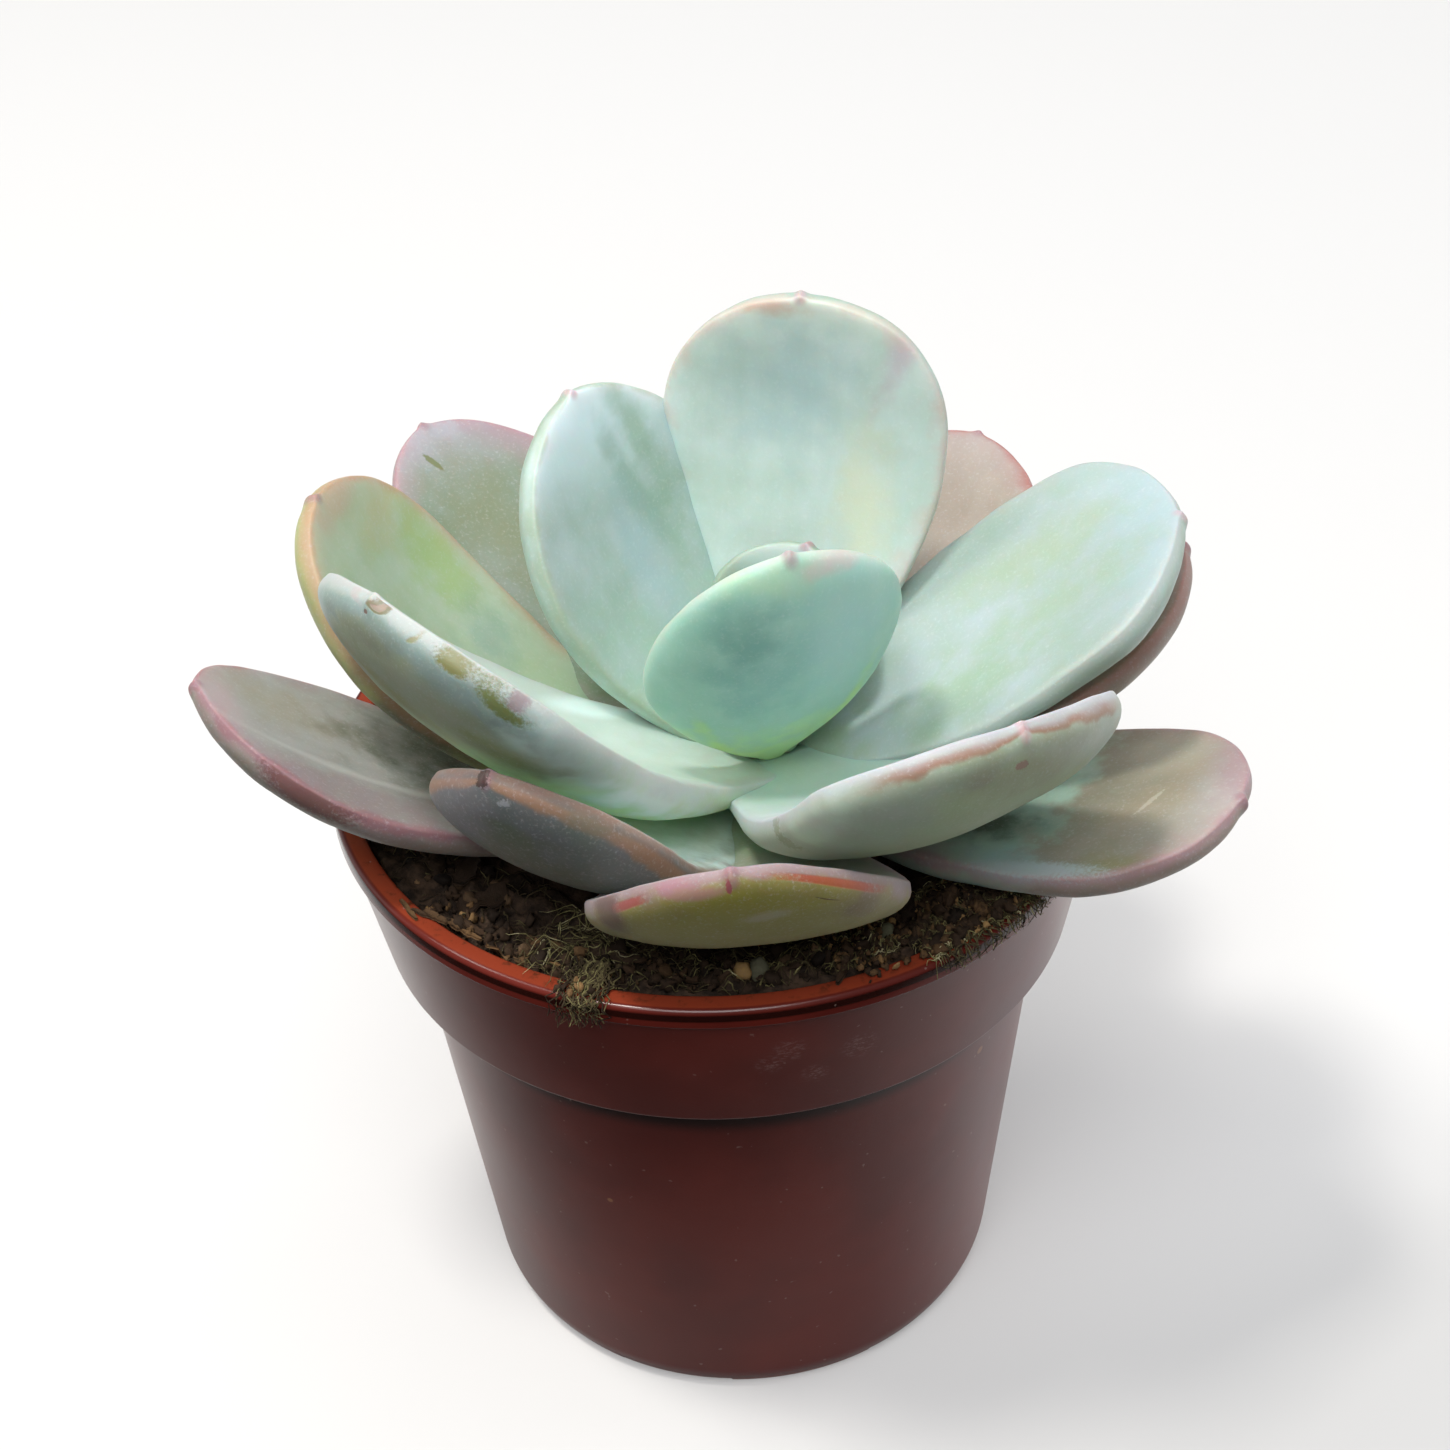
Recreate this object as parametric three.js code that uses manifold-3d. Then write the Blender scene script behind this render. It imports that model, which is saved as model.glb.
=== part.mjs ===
// A potted succulent: one rosette of thick spoon-shaped leaves on a short stem,
// which stands in a filled plastic nursery pot.
// Millimetres, +Z up. The origin is on the surface that the pot stands on, under the pot's middle.
// The front of the plant faces -Y. Azimuths run from +X towards +Y, seen from above.

import * as THREE from "three";
import { mergeVertices } from "three/addons/utils/BufferGeometryUtils.js";
import Module from "manifold-3d";

const wasm = await Module();
wasm.setup();

// The pot's driving dimensions.
const POT = {
  height: 72,
  rimRadius: 42.5,
  rimWidth: 2.6,
  rimDepth: 2.4,
  collarTopRadius: 41.9,
  collarBottomRadius: 38.7,
  collarBottom: 53,
  bodyTopRadius: 35.7,
  footRadius: 29.5,
  footWidth: 2.4,
  floorHeight: 1.6,
  padRadius: 13,
  wall: 0.8,
  sides: 48,
};
const DRAIN_HOLES = { count: 8, radius: 2.6, circle: 20 };
const FOOT_NOTCHES = { count: 6, width: 13.3, height: 0.9, firstAzimuth: 252 };

// The gap that is left between two solids that touch on the real plant.
const CLEARANCE = 0.3;

// The stem stands upright in a plain hole in the soil, a little to the right of the pot's middle.
const STEM = {
  x: 5,
  y: -4,
  foot: 48,
  collar: 66,
  top: 78.4,
  lowRadius: 4.6,
  highRadius: 2.2,
  scars: 5,
  sides: 20,
};

// The soil dips round the plant and climbs to the rim, with a mossy heap at the front right.
const SOIL = {
  middle: 65.6,
  edge: 70,
  dipRadius: 17,
  heapAzimuth: 304,
  heapHeight: 1.6,
  sides: 40,
  rings: 9,
  lumps: 0.5,
  wallGap: 0.5,
};
const CRUMBS = {
  count: 36,
  size: [1.1, 2.3],
  from: 20,
  to: 36.5,
  seed: 71,
};

// Where the three kinds of leaf sit on the stem, and how thick they grow.
const WHORLS = {
  bud: { height: 76.5, reach: 2.3, upper: 0.8, lower: 3 },
  middle: { height: 75, reach: 3.2, upper: 1.1, lower: 4.2 },
  outer: { height: 72.3, reach: 4, upper: 1.1, lower: 4.2 },
};

// Every leaf from the heart outwards. Angles are in degrees and pairs run from base to tip:
// rise is the midrib's climb, roll its twist, cup how far the margins fold up,
// swing how far the midrib bends sideways. widest is the place of the greatest width along
// the leaf, and neck the width at the base as a share of the greatest.
const LEAVES = [
  { name: "leaf_heart_back", whorl: "bud", azimuth: 120, rise: [78, 88], length: 8, halfWidth: 3.6,
    cup: [50, 50] },
  { name: "leaf_heart_left", whorl: "bud", azimuth: 212, rise: [74, 86], length: 11, halfWidth: 5,
    cup: [50, 50] },
  { name: "leaf_heart_right", whorl: "bud", azimuth: 345, rise: [70, 84], length: 14, halfWidth: 6,
    cup: [50, 50] },
  { name: "leaf_bud_back", whorl: "bud", azimuth: 54, rise: [64, 76], length: 20, halfWidth: 10,
    cup: [55, 50] },
  { name: "leaf_bud_front", whorl: "bud", azimuth: 277, rise: [51, 81], length: 39.5, halfWidth: 14.2,
    swing: 6, roll: [12, 3], cup: [30, 34], widest: 0.54, neck: 0.12 },
  { name: "leaf_middle_back_left", whorl: "middle", azimuth: 142, rise: [45, 77], length: 42,
    halfWidth: 15.5, roll: [0, 1], cup: [17, 28], widest: 0.58, neck: 0.34 },
  { name: "leaf_middle_back", whorl: "middle", azimuth: 70, rise: [46, 100], length: 49,
    halfWidth: 15.5, roll: [-2, 5], cup: [29, -8], widest: 0.68, neck: 0.28 },
  { name: "leaf_middle_right", whorl: "middle", azimuth: -1, rise: [30, 39], length: 48.5,
    halfWidth: 15.6, roll: [22, -3], cup: [22, 17], widest: 0.78, neck: 0.36 },
  { name: "leaf_middle_left", whorl: "middle", azimuth: 218, rise: [17, 72], length: 59,
    halfWidth: 17.5, swing: -8, roll: [0, 11], cup: [50, 10], widest: 0.76, neck: 0.42 },
  { name: "leaf_middle_front_right", whorl: "middle", azimuth: 295, rise: [11, 64], length: 56,
    halfWidth: 17, swing: 10, roll: [-4, -8], cup: [21, 20], widest: 0.77, neck: 0.5 },
  { name: "leaf_outer_left", whorl: "outer", azimuth: 177, rise: [7, 75], length: 57,
    halfWidth: 15.7, swing: -4, roll: [9, -5], cup: [18, 18], widest: 0.66, neck: 0.34 },
  { name: "leaf_outer_back_left", whorl: "outer", azimuth: 134, rise: [9, 38], length: 54,
    halfWidth: 14.3, roll: [0, 2], cup: [28, 22], widest: 0.6 },
  { name: "leaf_outer_right", whorl: "outer", azimuth: 7, rise: [16, 40], length: 47,
    halfWidth: 14.5, roll: [0, 1], cup: [26, 19], widest: 0.62 },
  { name: "leaf_outer_back_right", whorl: "outer", azimuth: 57, rise: [8, 26], length: 48,
    halfWidth: 14, roll: [0, 1], cup: [28, 20], widest: 0.61 },
  { name: "leaf_outer_front_left", whorl: "outer", azimuth: 230, rise: [0, 70], length: 48.5,
    halfWidth: 13.2, roll: [-14, 14], cup: [12, 24], widest: 0.63 },
  { name: "leaf_low_front", whorl: "outer", azimuth: 266, rise: [-4, 64], length: 49,
    halfWidth: 15.9, swing: -4, roll: [0, 8], cup: [4, 8], widest: 0.63, neck: 0.3 },
  { name: "leaf_low_left", whorl: "outer", azimuth: 193, rise: [-5, 51], length: 61,
    halfWidth: 14.2, swing: -6, roll: [14, 8], cup: [8, 6], widest: 0.64 },
  { name: "leaf_low_right", whorl: "outer", azimuth: 332, rise: [1, 27], length: 51,
    halfWidth: 14.3, roll: [-5, -2], cup: [10, 6], widest: 0.72 },
  { name: "leaf_low_back", whorl: "outer", azimuth: 96, rise: [2, 20], length: 44,
    halfWidth: 12.5, cup: [20, 14], widest: 0.62 },
];

// How every leaf is drawn: rings across it from base to tip, each a loop of points.
const LEAF = {
  swing: 0,
  roll: [0, 0],
  widest: 0.62,
  neck: 0.42,
  neckPower: 1.3,
  tipRoundness: 0.55,
  marginPower: 2.6,
  upperPower: 0.36,
  lowerPower: 0.43,
  baseThickness: 0.55,
  fullThicknessAt: 0.35,
  pointLength: 1.3,
  ringsBelowWidest: 6,
  ringsAboveWidest: 7,
  pointsAcross: 7,
  midribSteps: 60,
};

const COLOURS = {
  pot: { color: 0x6b2018, roughness: 0.38, metalness: 0 },
  soil: { color: 0x2a1d15, roughness: 0.95, metalness: 0 },
  stem: { color: 0x8c8a5c, roughness: 0.7, metalness: 0 },
  bud: { color: 0xb4dcc6, roughness: 0.6, metalness: 0 },
  middle: { color: 0xb9dac8, roughness: 0.6, metalness: 0 },
  outer: { color: 0xb5ad98, roughness: 0.6, metalness: 0 },
};

const radians = THREE.MathUtils.degToRad;
const lerp = THREE.MathUtils.lerp;
const clamp = THREE.MathUtils.clamp;
const smoothstep = THREE.MathUtils.smoothstep;

// A seeded draw between two numbers, so that every build is alike.
function seededDraw(seed) {
  let state = seed;
  return (low, high) => {
    state = (state * 16807) % 2147483647;
    return lerp(low, high, state / 2147483647);
  };
}

function meshOf(name, geometry, finish) {
  const mesh = new THREE.Mesh(geometry, new THREE.MeshStandardMaterial(finish));
  mesh.name = name;
  return mesh;
}

// Joins and cuts work on solids whose shared vertices are merged.
function solidFrom(geometry) {
  const bare = new THREE.BufferGeometry();
  bare.setAttribute("position", geometry.getAttribute("position"));
  if (geometry.index) bare.setIndex(geometry.index);
  const merged = mergeVertices(bare, 1e-4);
  return new wasm.Manifold(
    new wasm.Mesh({
      numProp: 3,
      vertProperties: new Float32Array(merged.attributes.position.array),
      triVerts: new Uint32Array(merged.index.array),
    }),
  );
}

function geometryFrom(solid) {
  const mesh = solid.getMesh();
  const geometry = new THREE.BufferGeometry();
  geometry.setAttribute("position", new THREE.BufferAttribute(mesh.vertProperties, 3));
  geometry.setIndex(new THREE.BufferAttribute(mesh.triVerts, 1));
  geometry.computeVertexNormals();
  return geometry;
}

// A cut can leave scraps: the leaf or the pot itself is the largest body.
function largestBody(solid) {
  const bodies = solid.decompose();
  return bodies.reduce((best, body) => (body.volume() > best.volume() ? body : best));
}

// Turns a profile of [radius, height] pairs round the vertical axis.
function turned(profile, sides, x = 0, y = 0) {
  const points = profile.map(([radius, height]) => new THREE.Vector2(radius, height));
  const geometry = new THREE.LatheGeometry(points, sides);
  geometry.rotateX(Math.PI / 2);
  geometry.translate(x, y, 0);
  return geometry;
}

// The pot is one thin wall: a raised floor with a middle pad and a foot ring that both
// reach the ground, a tapered body, a step out to the collar, and a thick rim.
function potProfile() {
  const { wall, footRadius, floorHeight, padRadius, height } = POT;
  const lip = height - POT.rimDepth;
  const innerRim = POT.rimRadius - POT.rimWidth;
  const floorTop = floorHeight + wall;
  const footInner = footRadius - POT.footWidth;
  return [
    [0, 0],
    [padRadius, 0],
    [padRadius + 1.5, floorHeight],
    [footInner - 1, floorHeight],
    [footInner, 0],
    [footRadius - 1.2, 0],
    [footRadius - 0.2, 0.6],
    [footRadius + 0.3, 2.2],
    [POT.bodyTopRadius, POT.collarBottom],
    [POT.collarBottomRadius - 0.4, POT.collarBottom],
    [POT.collarBottomRadius, POT.collarBottom + 0.5],
    [POT.collarTopRadius, lip],
    [POT.rimRadius, lip + 0.5],
    [POT.rimRadius, height - 0.7],
    [POT.rimRadius - 0.6, height],
    [innerRim + 0.6, height],
    [innerRim, height - 0.6],
    [POT.collarBottomRadius - wall, POT.collarBottom + wall + 0.6],
    [POT.bodyTopRadius - wall, POT.collarBottom + wall],
    [footRadius - wall, floorTop],
    [padRadius + 1, floorTop],
    [padRadius - 0.4, wall],
    [0, wall],
  ];
}

function cylinderAt(radius, low, high, x, y, sides) {
  const geometry = new THREE.CylinderGeometry(radius, radius, high - low, sides);
  geometry.rotateX(Math.PI / 2);
  geometry.translate(x, y, (low + high) / 2);
  return geometry;
}

function makePot() {
  let pot = solidFrom(turned(potProfile(), POT.sides));
  for (let i = 0; i < DRAIN_HOLES.count; i++) {
    const turn = ((i + 0.5) / DRAIN_HOLES.count) * 2 * Math.PI;
    const x = DRAIN_HOLES.circle * Math.cos(turn);
    const y = DRAIN_HOLES.circle * Math.sin(turn);
    pot = pot.subtract(solidFrom(cylinderAt(DRAIN_HOLES.radius, -1, 5, x, y, 12)));
  }
  for (let i = 0; i < FOOT_NOTCHES.count; i++) {
    const notch = new THREE.BoxGeometry(POT.footWidth * 3, FOOT_NOTCHES.width, 2 * FOOT_NOTCHES.height);
    notch.translate(POT.footRadius, 0, 0);
    notch.rotateZ(radians(FOOT_NOTCHES.firstAzimuth) + (i / FOOT_NOTCHES.count) * 2 * Math.PI);
    pot = pot.subtract(solidFrom(notch));
  }
  return largestBody(pot);
}

// The stem swells a little at each leaf scar and ends in a small dome between the heart leaves.
function stemProfile(extra) {
  const { foot, collar, top, lowRadius, highRadius } = STEM;
  const profile = [[0, foot - extra]];
  profile.push([lowRadius * 0.7 + extra, foot - extra]);
  profile.push([lowRadius + extra, foot + 3]);
  profile.push([lowRadius + extra, collar]);
  for (let i = 1; i <= STEM.scars; i++) {
    const share = i / STEM.scars;
    const height = lerp(collar, top - highRadius, share);
    const swell = i % 2 ? 0.2 : -0.1;
    profile.push([lerp(lowRadius, highRadius, share * share) + swell + extra, height]);
  }
  profile.push([highRadius * 0.6 + extra, top - highRadius * 0.35 + extra]);
  profile.push([0, top + extra]);
  return profile;
}

function makeStem(extra = 0) {
  return solidFrom(turned(stemProfile(extra), STEM.sides, STEM.x, STEM.y));
}

// Height of the soil's surface: a dip round the plant, a climb to the rim, lumps, and a heap.
function soilHeight(x, y) {
  const fromStem = Math.hypot(x - STEM.x, y - STEM.y);
  const fromMiddle = Math.hypot(x, y);
  const climb = smoothstep(fromStem, SOIL.dipRadius, 34);
  const wide = Math.sin(0.61 * x + 0.23 * y) * Math.cos(0.47 * y - 0.2 * x);
  const small = Math.sin(1.13 * x - 0.7 * y + 1) + Math.sin(1.7 * y + 0.9 * x + 2);
  const lumps = SOIL.lumps * (wide + 0.6 * small) * (0.5 + 0.5 * climb);
  const away = Math.atan2(y, x) - radians(SOIL.heapAzimuth);
  const heap = Math.pow(0.5 + 0.5 * Math.cos(away), 5) * smoothstep(fromMiddle, 24, 37);
  return lerp(SOIL.middle, SOIL.edge, climb) + lumps + SOIL.heapHeight * heap;
}

// The soil fills the pot as one root ball, CLEARANCE away from the pot's wall and floor.
function soilProfile() {
  const { wall } = POT;
  const floorTop = POT.floorHeight + wall + CLEARANCE;
  const innerRim = POT.rimRadius - POT.rimWidth;
  const collarInner = POT.collarBottomRadius - wall;
  const bodyInner = POT.bodyTopRadius - wall;
  const profile = [
    [0, floorTop],
    [POT.footRadius - wall - CLEARANCE, floorTop],
    [bodyInner - CLEARANCE, POT.collarBottom + wall + CLEARANCE],
    [collarInner - 0.8, POT.collarBottom + wall + 1],
    [collarInner - CLEARANCE, POT.collarBottom + wall + 2],
  ];
  const surfaceRadius = innerRim - SOIL.wallGap;
  for (let i = 0; i < SOIL.rings; i++) {
    profile.push([surfaceRadius * (1 - i / SOIL.rings), SOIL.edge]);
  }
  profile.push([0, SOIL.edge]);
  return profile;
}

// The surface's points are lifted to the soil's height, crumbs are fused on, and what the stem
// and the lowest leaves press into is cut away.
function makeSoil(pressed) {
  const geometry = turned(soilProfile(), SOIL.sides);
  const place = geometry.getAttribute("position");
  for (let i = 0; i < place.count; i++) {
    if (place.getZ(i) > SOIL.edge - 1) {
      place.setZ(i, soilHeight(place.getX(i), place.getY(i)));
    }
  }
  let soil = solidFrom(geometry);
  const draw = seededDraw(CRUMBS.seed);
  for (let i = 0; i < CRUMBS.count; i++) {
    const size = draw(...CRUMBS.size);
    const turn = draw(0, 2 * Math.PI);
    const out = draw(CRUMBS.from, CRUMBS.to);
    const x = out * Math.cos(turn);
    const y = out * Math.sin(turn);
    const crumb = new THREE.IcosahedronGeometry(size, 0);
    crumb.scale(draw(0.8, 1.3), draw(0.8, 1.2), draw(0.6, 0.9));
    crumb.rotateZ(draw(0, 3));
    crumb.rotateX(draw(-0.4, 0.4));
    crumb.translate(x, y, soilHeight(x, y) + 0.1 * size);
    soil = soil.add(solidFrom(crumb));
  }
  return largestBody(soil.subtract(stemHole()).subtract(pressed));
}

function stemHole() {
  const { x, y, foot, lowRadius, sides } = STEM;
  return solidFrom(cylinderAt(lowRadius + CLEARANCE, foot - CLEARANCE, POT.height + 10, x, y, sides));
}

// The midrib: points along it with the direction across the leaf and the way its inner face looks.
function midrib(leaf, whorl) {
  const steps = LEAF.midribSteps;
  const start = radians(leaf.azimuth);
  const point = new THREE.Vector3(
    STEM.x + whorl.reach * Math.cos(start),
    STEM.y + whorl.reach * Math.sin(start),
    whorl.height,
  );
  const stations = [];
  for (let i = 0; i <= steps; i++) {
    const along = i / steps;
    const rise = radians(lerp(...leaf.rise, along));
    const heading = radians(leaf.azimuth + leaf.swing * along);
    const roll = radians(lerp(...leaf.roll, along));
    const forward = new THREE.Vector3(
      Math.cos(rise) * Math.cos(heading),
      Math.cos(rise) * Math.sin(heading),
      Math.sin(rise),
    );
    const across = new THREE.Vector3(-Math.sin(heading), Math.cos(heading), 0).applyAxisAngle(forward, roll);
    const inner = new THREE.Vector3().crossVectors(forward, across);
    stations.push({ point: point.clone(), forward, across, inner });
    point.addScaledVector(forward, leaf.length / steps);
  }
  return stations;
}

function stationAt(stations, along) {
  const place = clamp(along, 0, 1) * (stations.length - 1);
  const low = Math.min(Math.floor(place), stations.length - 2);
  const [a, b] = [stations[low], stations[low + 1]];
  const mix = (key) => a[key].clone().lerp(b[key], place - low);
  return { point: mix("point"), forward: mix("forward"), across: mix("across"), inner: mix("inner") };
}

// Half the leaf's width: a neck that swells to the widest place, then a rounded tip.
function halfWidthAt(leaf, along, halfWidth) {
  if (along < leaf.widest) {
    const swell = Math.sin((Math.PI / 2) * (along / leaf.widest)) ** LEAF.neckPower;
    return halfWidth * lerp(leaf.neck, 1, swell);
  }
  const beyond = (along - leaf.widest) / (1 - leaf.widest);
  return halfWidth * (1 - beyond ** 2) ** LEAF.tipRoundness;
}

// One leaf as a closed ring mesh. extra grows it on every side, for cutting its neighbours.
function leafSolid(spec, extra = 0) {
  const leaf = { ...LEAF, ...spec };
  const whorl = WHORLS[leaf.whorl];
  const stations = midrib(leaf, whorl);
  const halfWidth = leaf.halfWidth + extra;
  const points = [];
  const alongs = [];
  for (let i = 0; i < LEAF.ringsBelowWidest; i++) {
    alongs.push((leaf.widest * i) / LEAF.ringsBelowWidest);
  }
  for (let i = 0; i < LEAF.ringsAboveWidest; i++) {
    const turn = (Math.PI / 2) * (i / (LEAF.ringsAboveWidest - 0.6));
    alongs.push(leaf.widest + (1 - leaf.widest) * Math.sin(turn));
  }
  const ring = LEAF.pointsAcross * 2 - 2;
  for (const along of alongs) {
    const { point, across, inner } = stationAt(stations, along);
    const width = halfWidthAt(leaf, along, halfWidth);
    const fold = radians(lerp(...leaf.cup, along)) / leaf.halfWidth || 1e-6;
    const beyond = Math.max(0, (along - leaf.widest) / (1 - leaf.widest));
    const bulk = lerp(LEAF.baseThickness, 1, smoothstep(along, 0, LEAF.fullThicknessAt));
    for (let j = 0; j < ring; j++) {
      const onInner = j < LEAF.pointsAcross;
      const step = onInner ? j : ring - j;
      const u = -Math.cos((Math.PI * step) / (LEAF.pointsAcross - 1));
      const full = (1 - Math.abs(u) ** LEAF.marginPower) * (1 - beyond ** 2);
      const thickness = onInner
        ? (whorl.upper * bulk + extra) * full ** LEAF.upperPower
        : -(whorl.lower * bulk + extra) * full ** LEAF.lowerPower;
      const bend = fold * width * u;
      const middle = point
        .clone()
        .addScaledVector(across, Math.sin(bend) / fold)
        .addScaledVector(inner, (1 - Math.cos(bend)) / fold);
      middle.addScaledVector(inner, thickness * Math.cos(bend));
      middle.addScaledVector(across, -thickness * Math.sin(bend));
      points.push(middle);
    }
  }
  return solidFrom(closedRings(points, ring, alongs.length, stations, extra));
}

// Joins the rings with triangles, closes the base with a fan, and the tip with its small point.
function closedRings(points, ring, rings, stations, extra) {
  const base = stations[0];
  const tip = stations[stations.length - 1];
  const all = points.slice();
  all.push(base.point.clone().addScaledVector(base.forward, -0.2 - extra));
  all.push(tip.point.clone().addScaledVector(tip.forward, LEAF.pointLength + extra));
  const faces = [];
  for (let i = 0; i + 1 < rings; i++) {
    for (let j = 0; j < ring; j++) {
      const a = i * ring + j;
      const b = i * ring + ((j + 1) % ring);
      faces.push(a, a + ring, b, b, a + ring, b + ring);
    }
  }
  const last = (rings - 1) * ring;
  for (let j = 0; j < ring; j++) {
    const next = (j + 1) % ring;
    faces.push(points.length, j, next);
    faces.push(points.length + 1, last + next, last + j);
  }
  const geometry = new THREE.BufferGeometry().setFromPoints(all);
  geometry.setIndex(faces);
  return geometry;
}

// Leaves press on each other at their bases, so each is cut by the stem and by the leaves inside
// it. taken is the room of the stem and all the leaves, grown by the clearance.
function makeLeaves() {
  let taken = makeStem(CLEARANCE);
  const meshes = LEAVES.map((spec) => {
    const leaf = largestBody(leafSolid(spec).subtract(taken));
    taken = taken.add(leafSolid(spec, CLEARANCE));
    return meshOf(spec.name, geometryFrom(leaf), COLOURS[spec.whorl]);
  });
  return { meshes, taken };
}

const leaves = makeLeaves();
const plant = new THREE.Group();
plant.add(meshOf("pot", geometryFrom(makePot()), COLOURS.pot));
plant.add(meshOf("soil", geometryFrom(makeSoil(leaves.taken)), COLOURS.soil));
plant.add(meshOf("stem", geometryFrom(makeStem()), COLOURS.stem));
plant.add(...leaves.meshes);

export default plant;
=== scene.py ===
# %% [markdown]
# # A potted echeveria
# A rosette of thick leaves with a powdery bloom stands in a plastic nursery pot filled with soil.
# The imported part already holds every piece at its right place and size. This lesson gives each
# piece its finer form and its finish, and leaves the places alone.
# Blender counts in metres. A plant is easier to think of in millimetres, so the numbers here are
# millimetres, and they become metres only when a mesh is made.

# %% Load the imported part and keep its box
import math
import random

import bmesh
import bpy
import numpy as np
from mathutils import Euler, Matrix, Vector, noise
from mathutils.bvhtree import BVHTree


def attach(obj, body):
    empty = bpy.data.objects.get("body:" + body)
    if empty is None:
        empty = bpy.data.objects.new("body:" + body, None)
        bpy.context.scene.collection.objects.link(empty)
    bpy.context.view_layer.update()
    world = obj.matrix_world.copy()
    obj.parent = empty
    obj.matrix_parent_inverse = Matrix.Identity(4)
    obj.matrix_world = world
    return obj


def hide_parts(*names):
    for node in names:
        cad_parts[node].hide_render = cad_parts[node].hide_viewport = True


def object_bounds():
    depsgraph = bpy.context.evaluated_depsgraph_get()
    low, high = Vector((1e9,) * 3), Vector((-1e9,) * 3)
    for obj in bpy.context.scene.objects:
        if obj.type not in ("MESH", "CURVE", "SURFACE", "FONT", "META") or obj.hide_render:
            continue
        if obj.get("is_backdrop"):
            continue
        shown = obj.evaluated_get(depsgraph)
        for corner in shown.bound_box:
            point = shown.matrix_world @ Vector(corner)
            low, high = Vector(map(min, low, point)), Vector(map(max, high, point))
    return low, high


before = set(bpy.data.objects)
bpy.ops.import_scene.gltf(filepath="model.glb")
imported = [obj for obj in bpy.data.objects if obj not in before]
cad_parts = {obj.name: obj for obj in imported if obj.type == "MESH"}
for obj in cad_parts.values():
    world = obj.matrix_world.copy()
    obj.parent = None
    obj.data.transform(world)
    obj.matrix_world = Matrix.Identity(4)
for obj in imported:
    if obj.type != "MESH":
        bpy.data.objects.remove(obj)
solid_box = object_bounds()
MM = 0.001


def in_mm(vector):
    return [round(x / MM, 1) for x in vector]


print("solids:", len(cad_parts), "nodes, size in mm", in_mm(solid_box[1] - solid_box[0]))

# %% [markdown]
# ## The camera
# A small plant is photographed with a longish lens from a little way off, which keeps the pot's
# sides nearly straight. The camera could be placed by eye. It was worked out instead from the rim's
# ellipse, whose flatness gives the height of view, and from the sizes of rim and foot, which give
# the distance. The photograph leans by three degrees, so the camera rolls as much.

# %% Place the camera
LENS = 75
SENSOR = 36
VIEW_DISTANCE = 329
VIEW_ELEVATION = 37.9
VIEW_ROLL = -3.0
VIEW_TARGET = Vector((0.8, 0, 74.6))


def make_camera():
    data = bpy.data.cameras.new("camera")
    data.lens = LENS
    data.sensor_width = SENSOR
    data.clip_start = 0.01
    camera = bpy.data.objects.new("camera", data)
    bpy.context.scene.collection.objects.link(camera)
    tilt = Euler((math.radians(90 - VIEW_ELEVATION), 0, 0)).to_matrix()
    turn = tilt @ Matrix.Rotation(math.radians(VIEW_ROLL), 3, "Z")
    place = VIEW_TARGET + VIEW_DISTANCE * (turn @ Vector((0, 0, 1)))
    camera.matrix_world = Matrix.Translation(place * MM) @ turn.to_4x4()
    bpy.context.scene.camera = camera
    return place * MM


print("camera at, in mm:", in_mm(make_camera()))

# %% [markdown]
# ## Arithmetic shared by the pieces
# Mesh code needs the same few small tools again and again: a straight blend, a soft step, and a
# mesh made from lists of points and faces. With numpy they work on whole arrays of points at once.


# %% Small tools for forms
def blend(pair, share):
    return pair[0] + (pair[1] - pair[0]) * share


def soft_step(value, low, high):
    share = np.clip((value - low) / (high - low), 0, 1)
    return share * share * (3 - 2 * share)


def ring_faces(rings, around, closed=True):
    """Quads between rings of points, each ring with as many points."""
    faces = []
    for i in range(rings - 1):
        for j in range(around if closed else around - 1):
            a = i * around + j
            b = i * around + (j + 1) % around
            faces.append((a, a + around, b + around, b))
    return faces


def fan_faces(middle, ring, around, turned=False):
    """Triangles from a middle point to a ring that starts at the point numbered ring."""
    faces = []
    for j in range(around):
        a = ring + j
        b = ring + (j + 1) % around
        faces.append((middle, b, a) if turned else (middle, a, b))
    return faces


def skin_faces(rings, around, inside_out=False):
    """A closed skin over rings of points, followed by its two end points."""
    faces = ring_faces(rings, around)
    if inside_out:
        faces = [tuple(reversed(face)) for face in faces]
    last = rings * around
    faces += fan_faces(last, 0, around, turned=inside_out)
    return faces + fan_faces(last + 1, last - around, around, turned=not inside_out)


def make_mesh(name, points, faces, values=None, smooth=True):
    """A mesh object from millimetre points. values holds named numbers or vectors for each point."""
    mesh = bpy.data.meshes.new(name)
    mesh.from_pydata((np.asarray(points, float) * MM).tolist(), [], faces)
    for key, numbers in (values or {}).items():
        numbers = np.asarray(numbers, np.float32)
        if numbers.ndim == 2:
            mesh.attributes.new(key, "FLOAT_VECTOR", "POINT").data.foreach_set("vector", numbers.ravel())
        else:
            mesh.attributes.new(key, "FLOAT", "POINT").data.foreach_set("value", numbers)
    mesh.polygons.foreach_set("use_smooth", [smooth] * len(mesh.polygons))
    mesh.validate()
    thing = bpy.data.objects.new(name, mesh)
    bpy.context.scene.collection.objects.link(thing)
    return thing


def finish_piece(thing, material, node=None):
    """Gives a piece its material, lets it ride, and hides the solid node that it replaces."""
    thing.data.materials.clear()
    thing.data.materials.append(material)
    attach(thing, "root")
    if node:
        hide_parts(node)
    return thing


print("tools ready: blend, soft_step, ring_faces, fan_faces, skin_faces, make_mesh, finish_piece")

# %% [markdown]
# ## Writing shaders as sums
# Blender's materials are graphs of nodes. A graph for a leaf holds dozens of Math nodes, and code
# that links each by hand is hard to read. Here a small class wraps a node's socket, and plus, minus
# and times on it add the Math nodes. A second class holds one material: its one method node() adds
# any other kind of node, settings first, then the values or links of its sockets.


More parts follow.
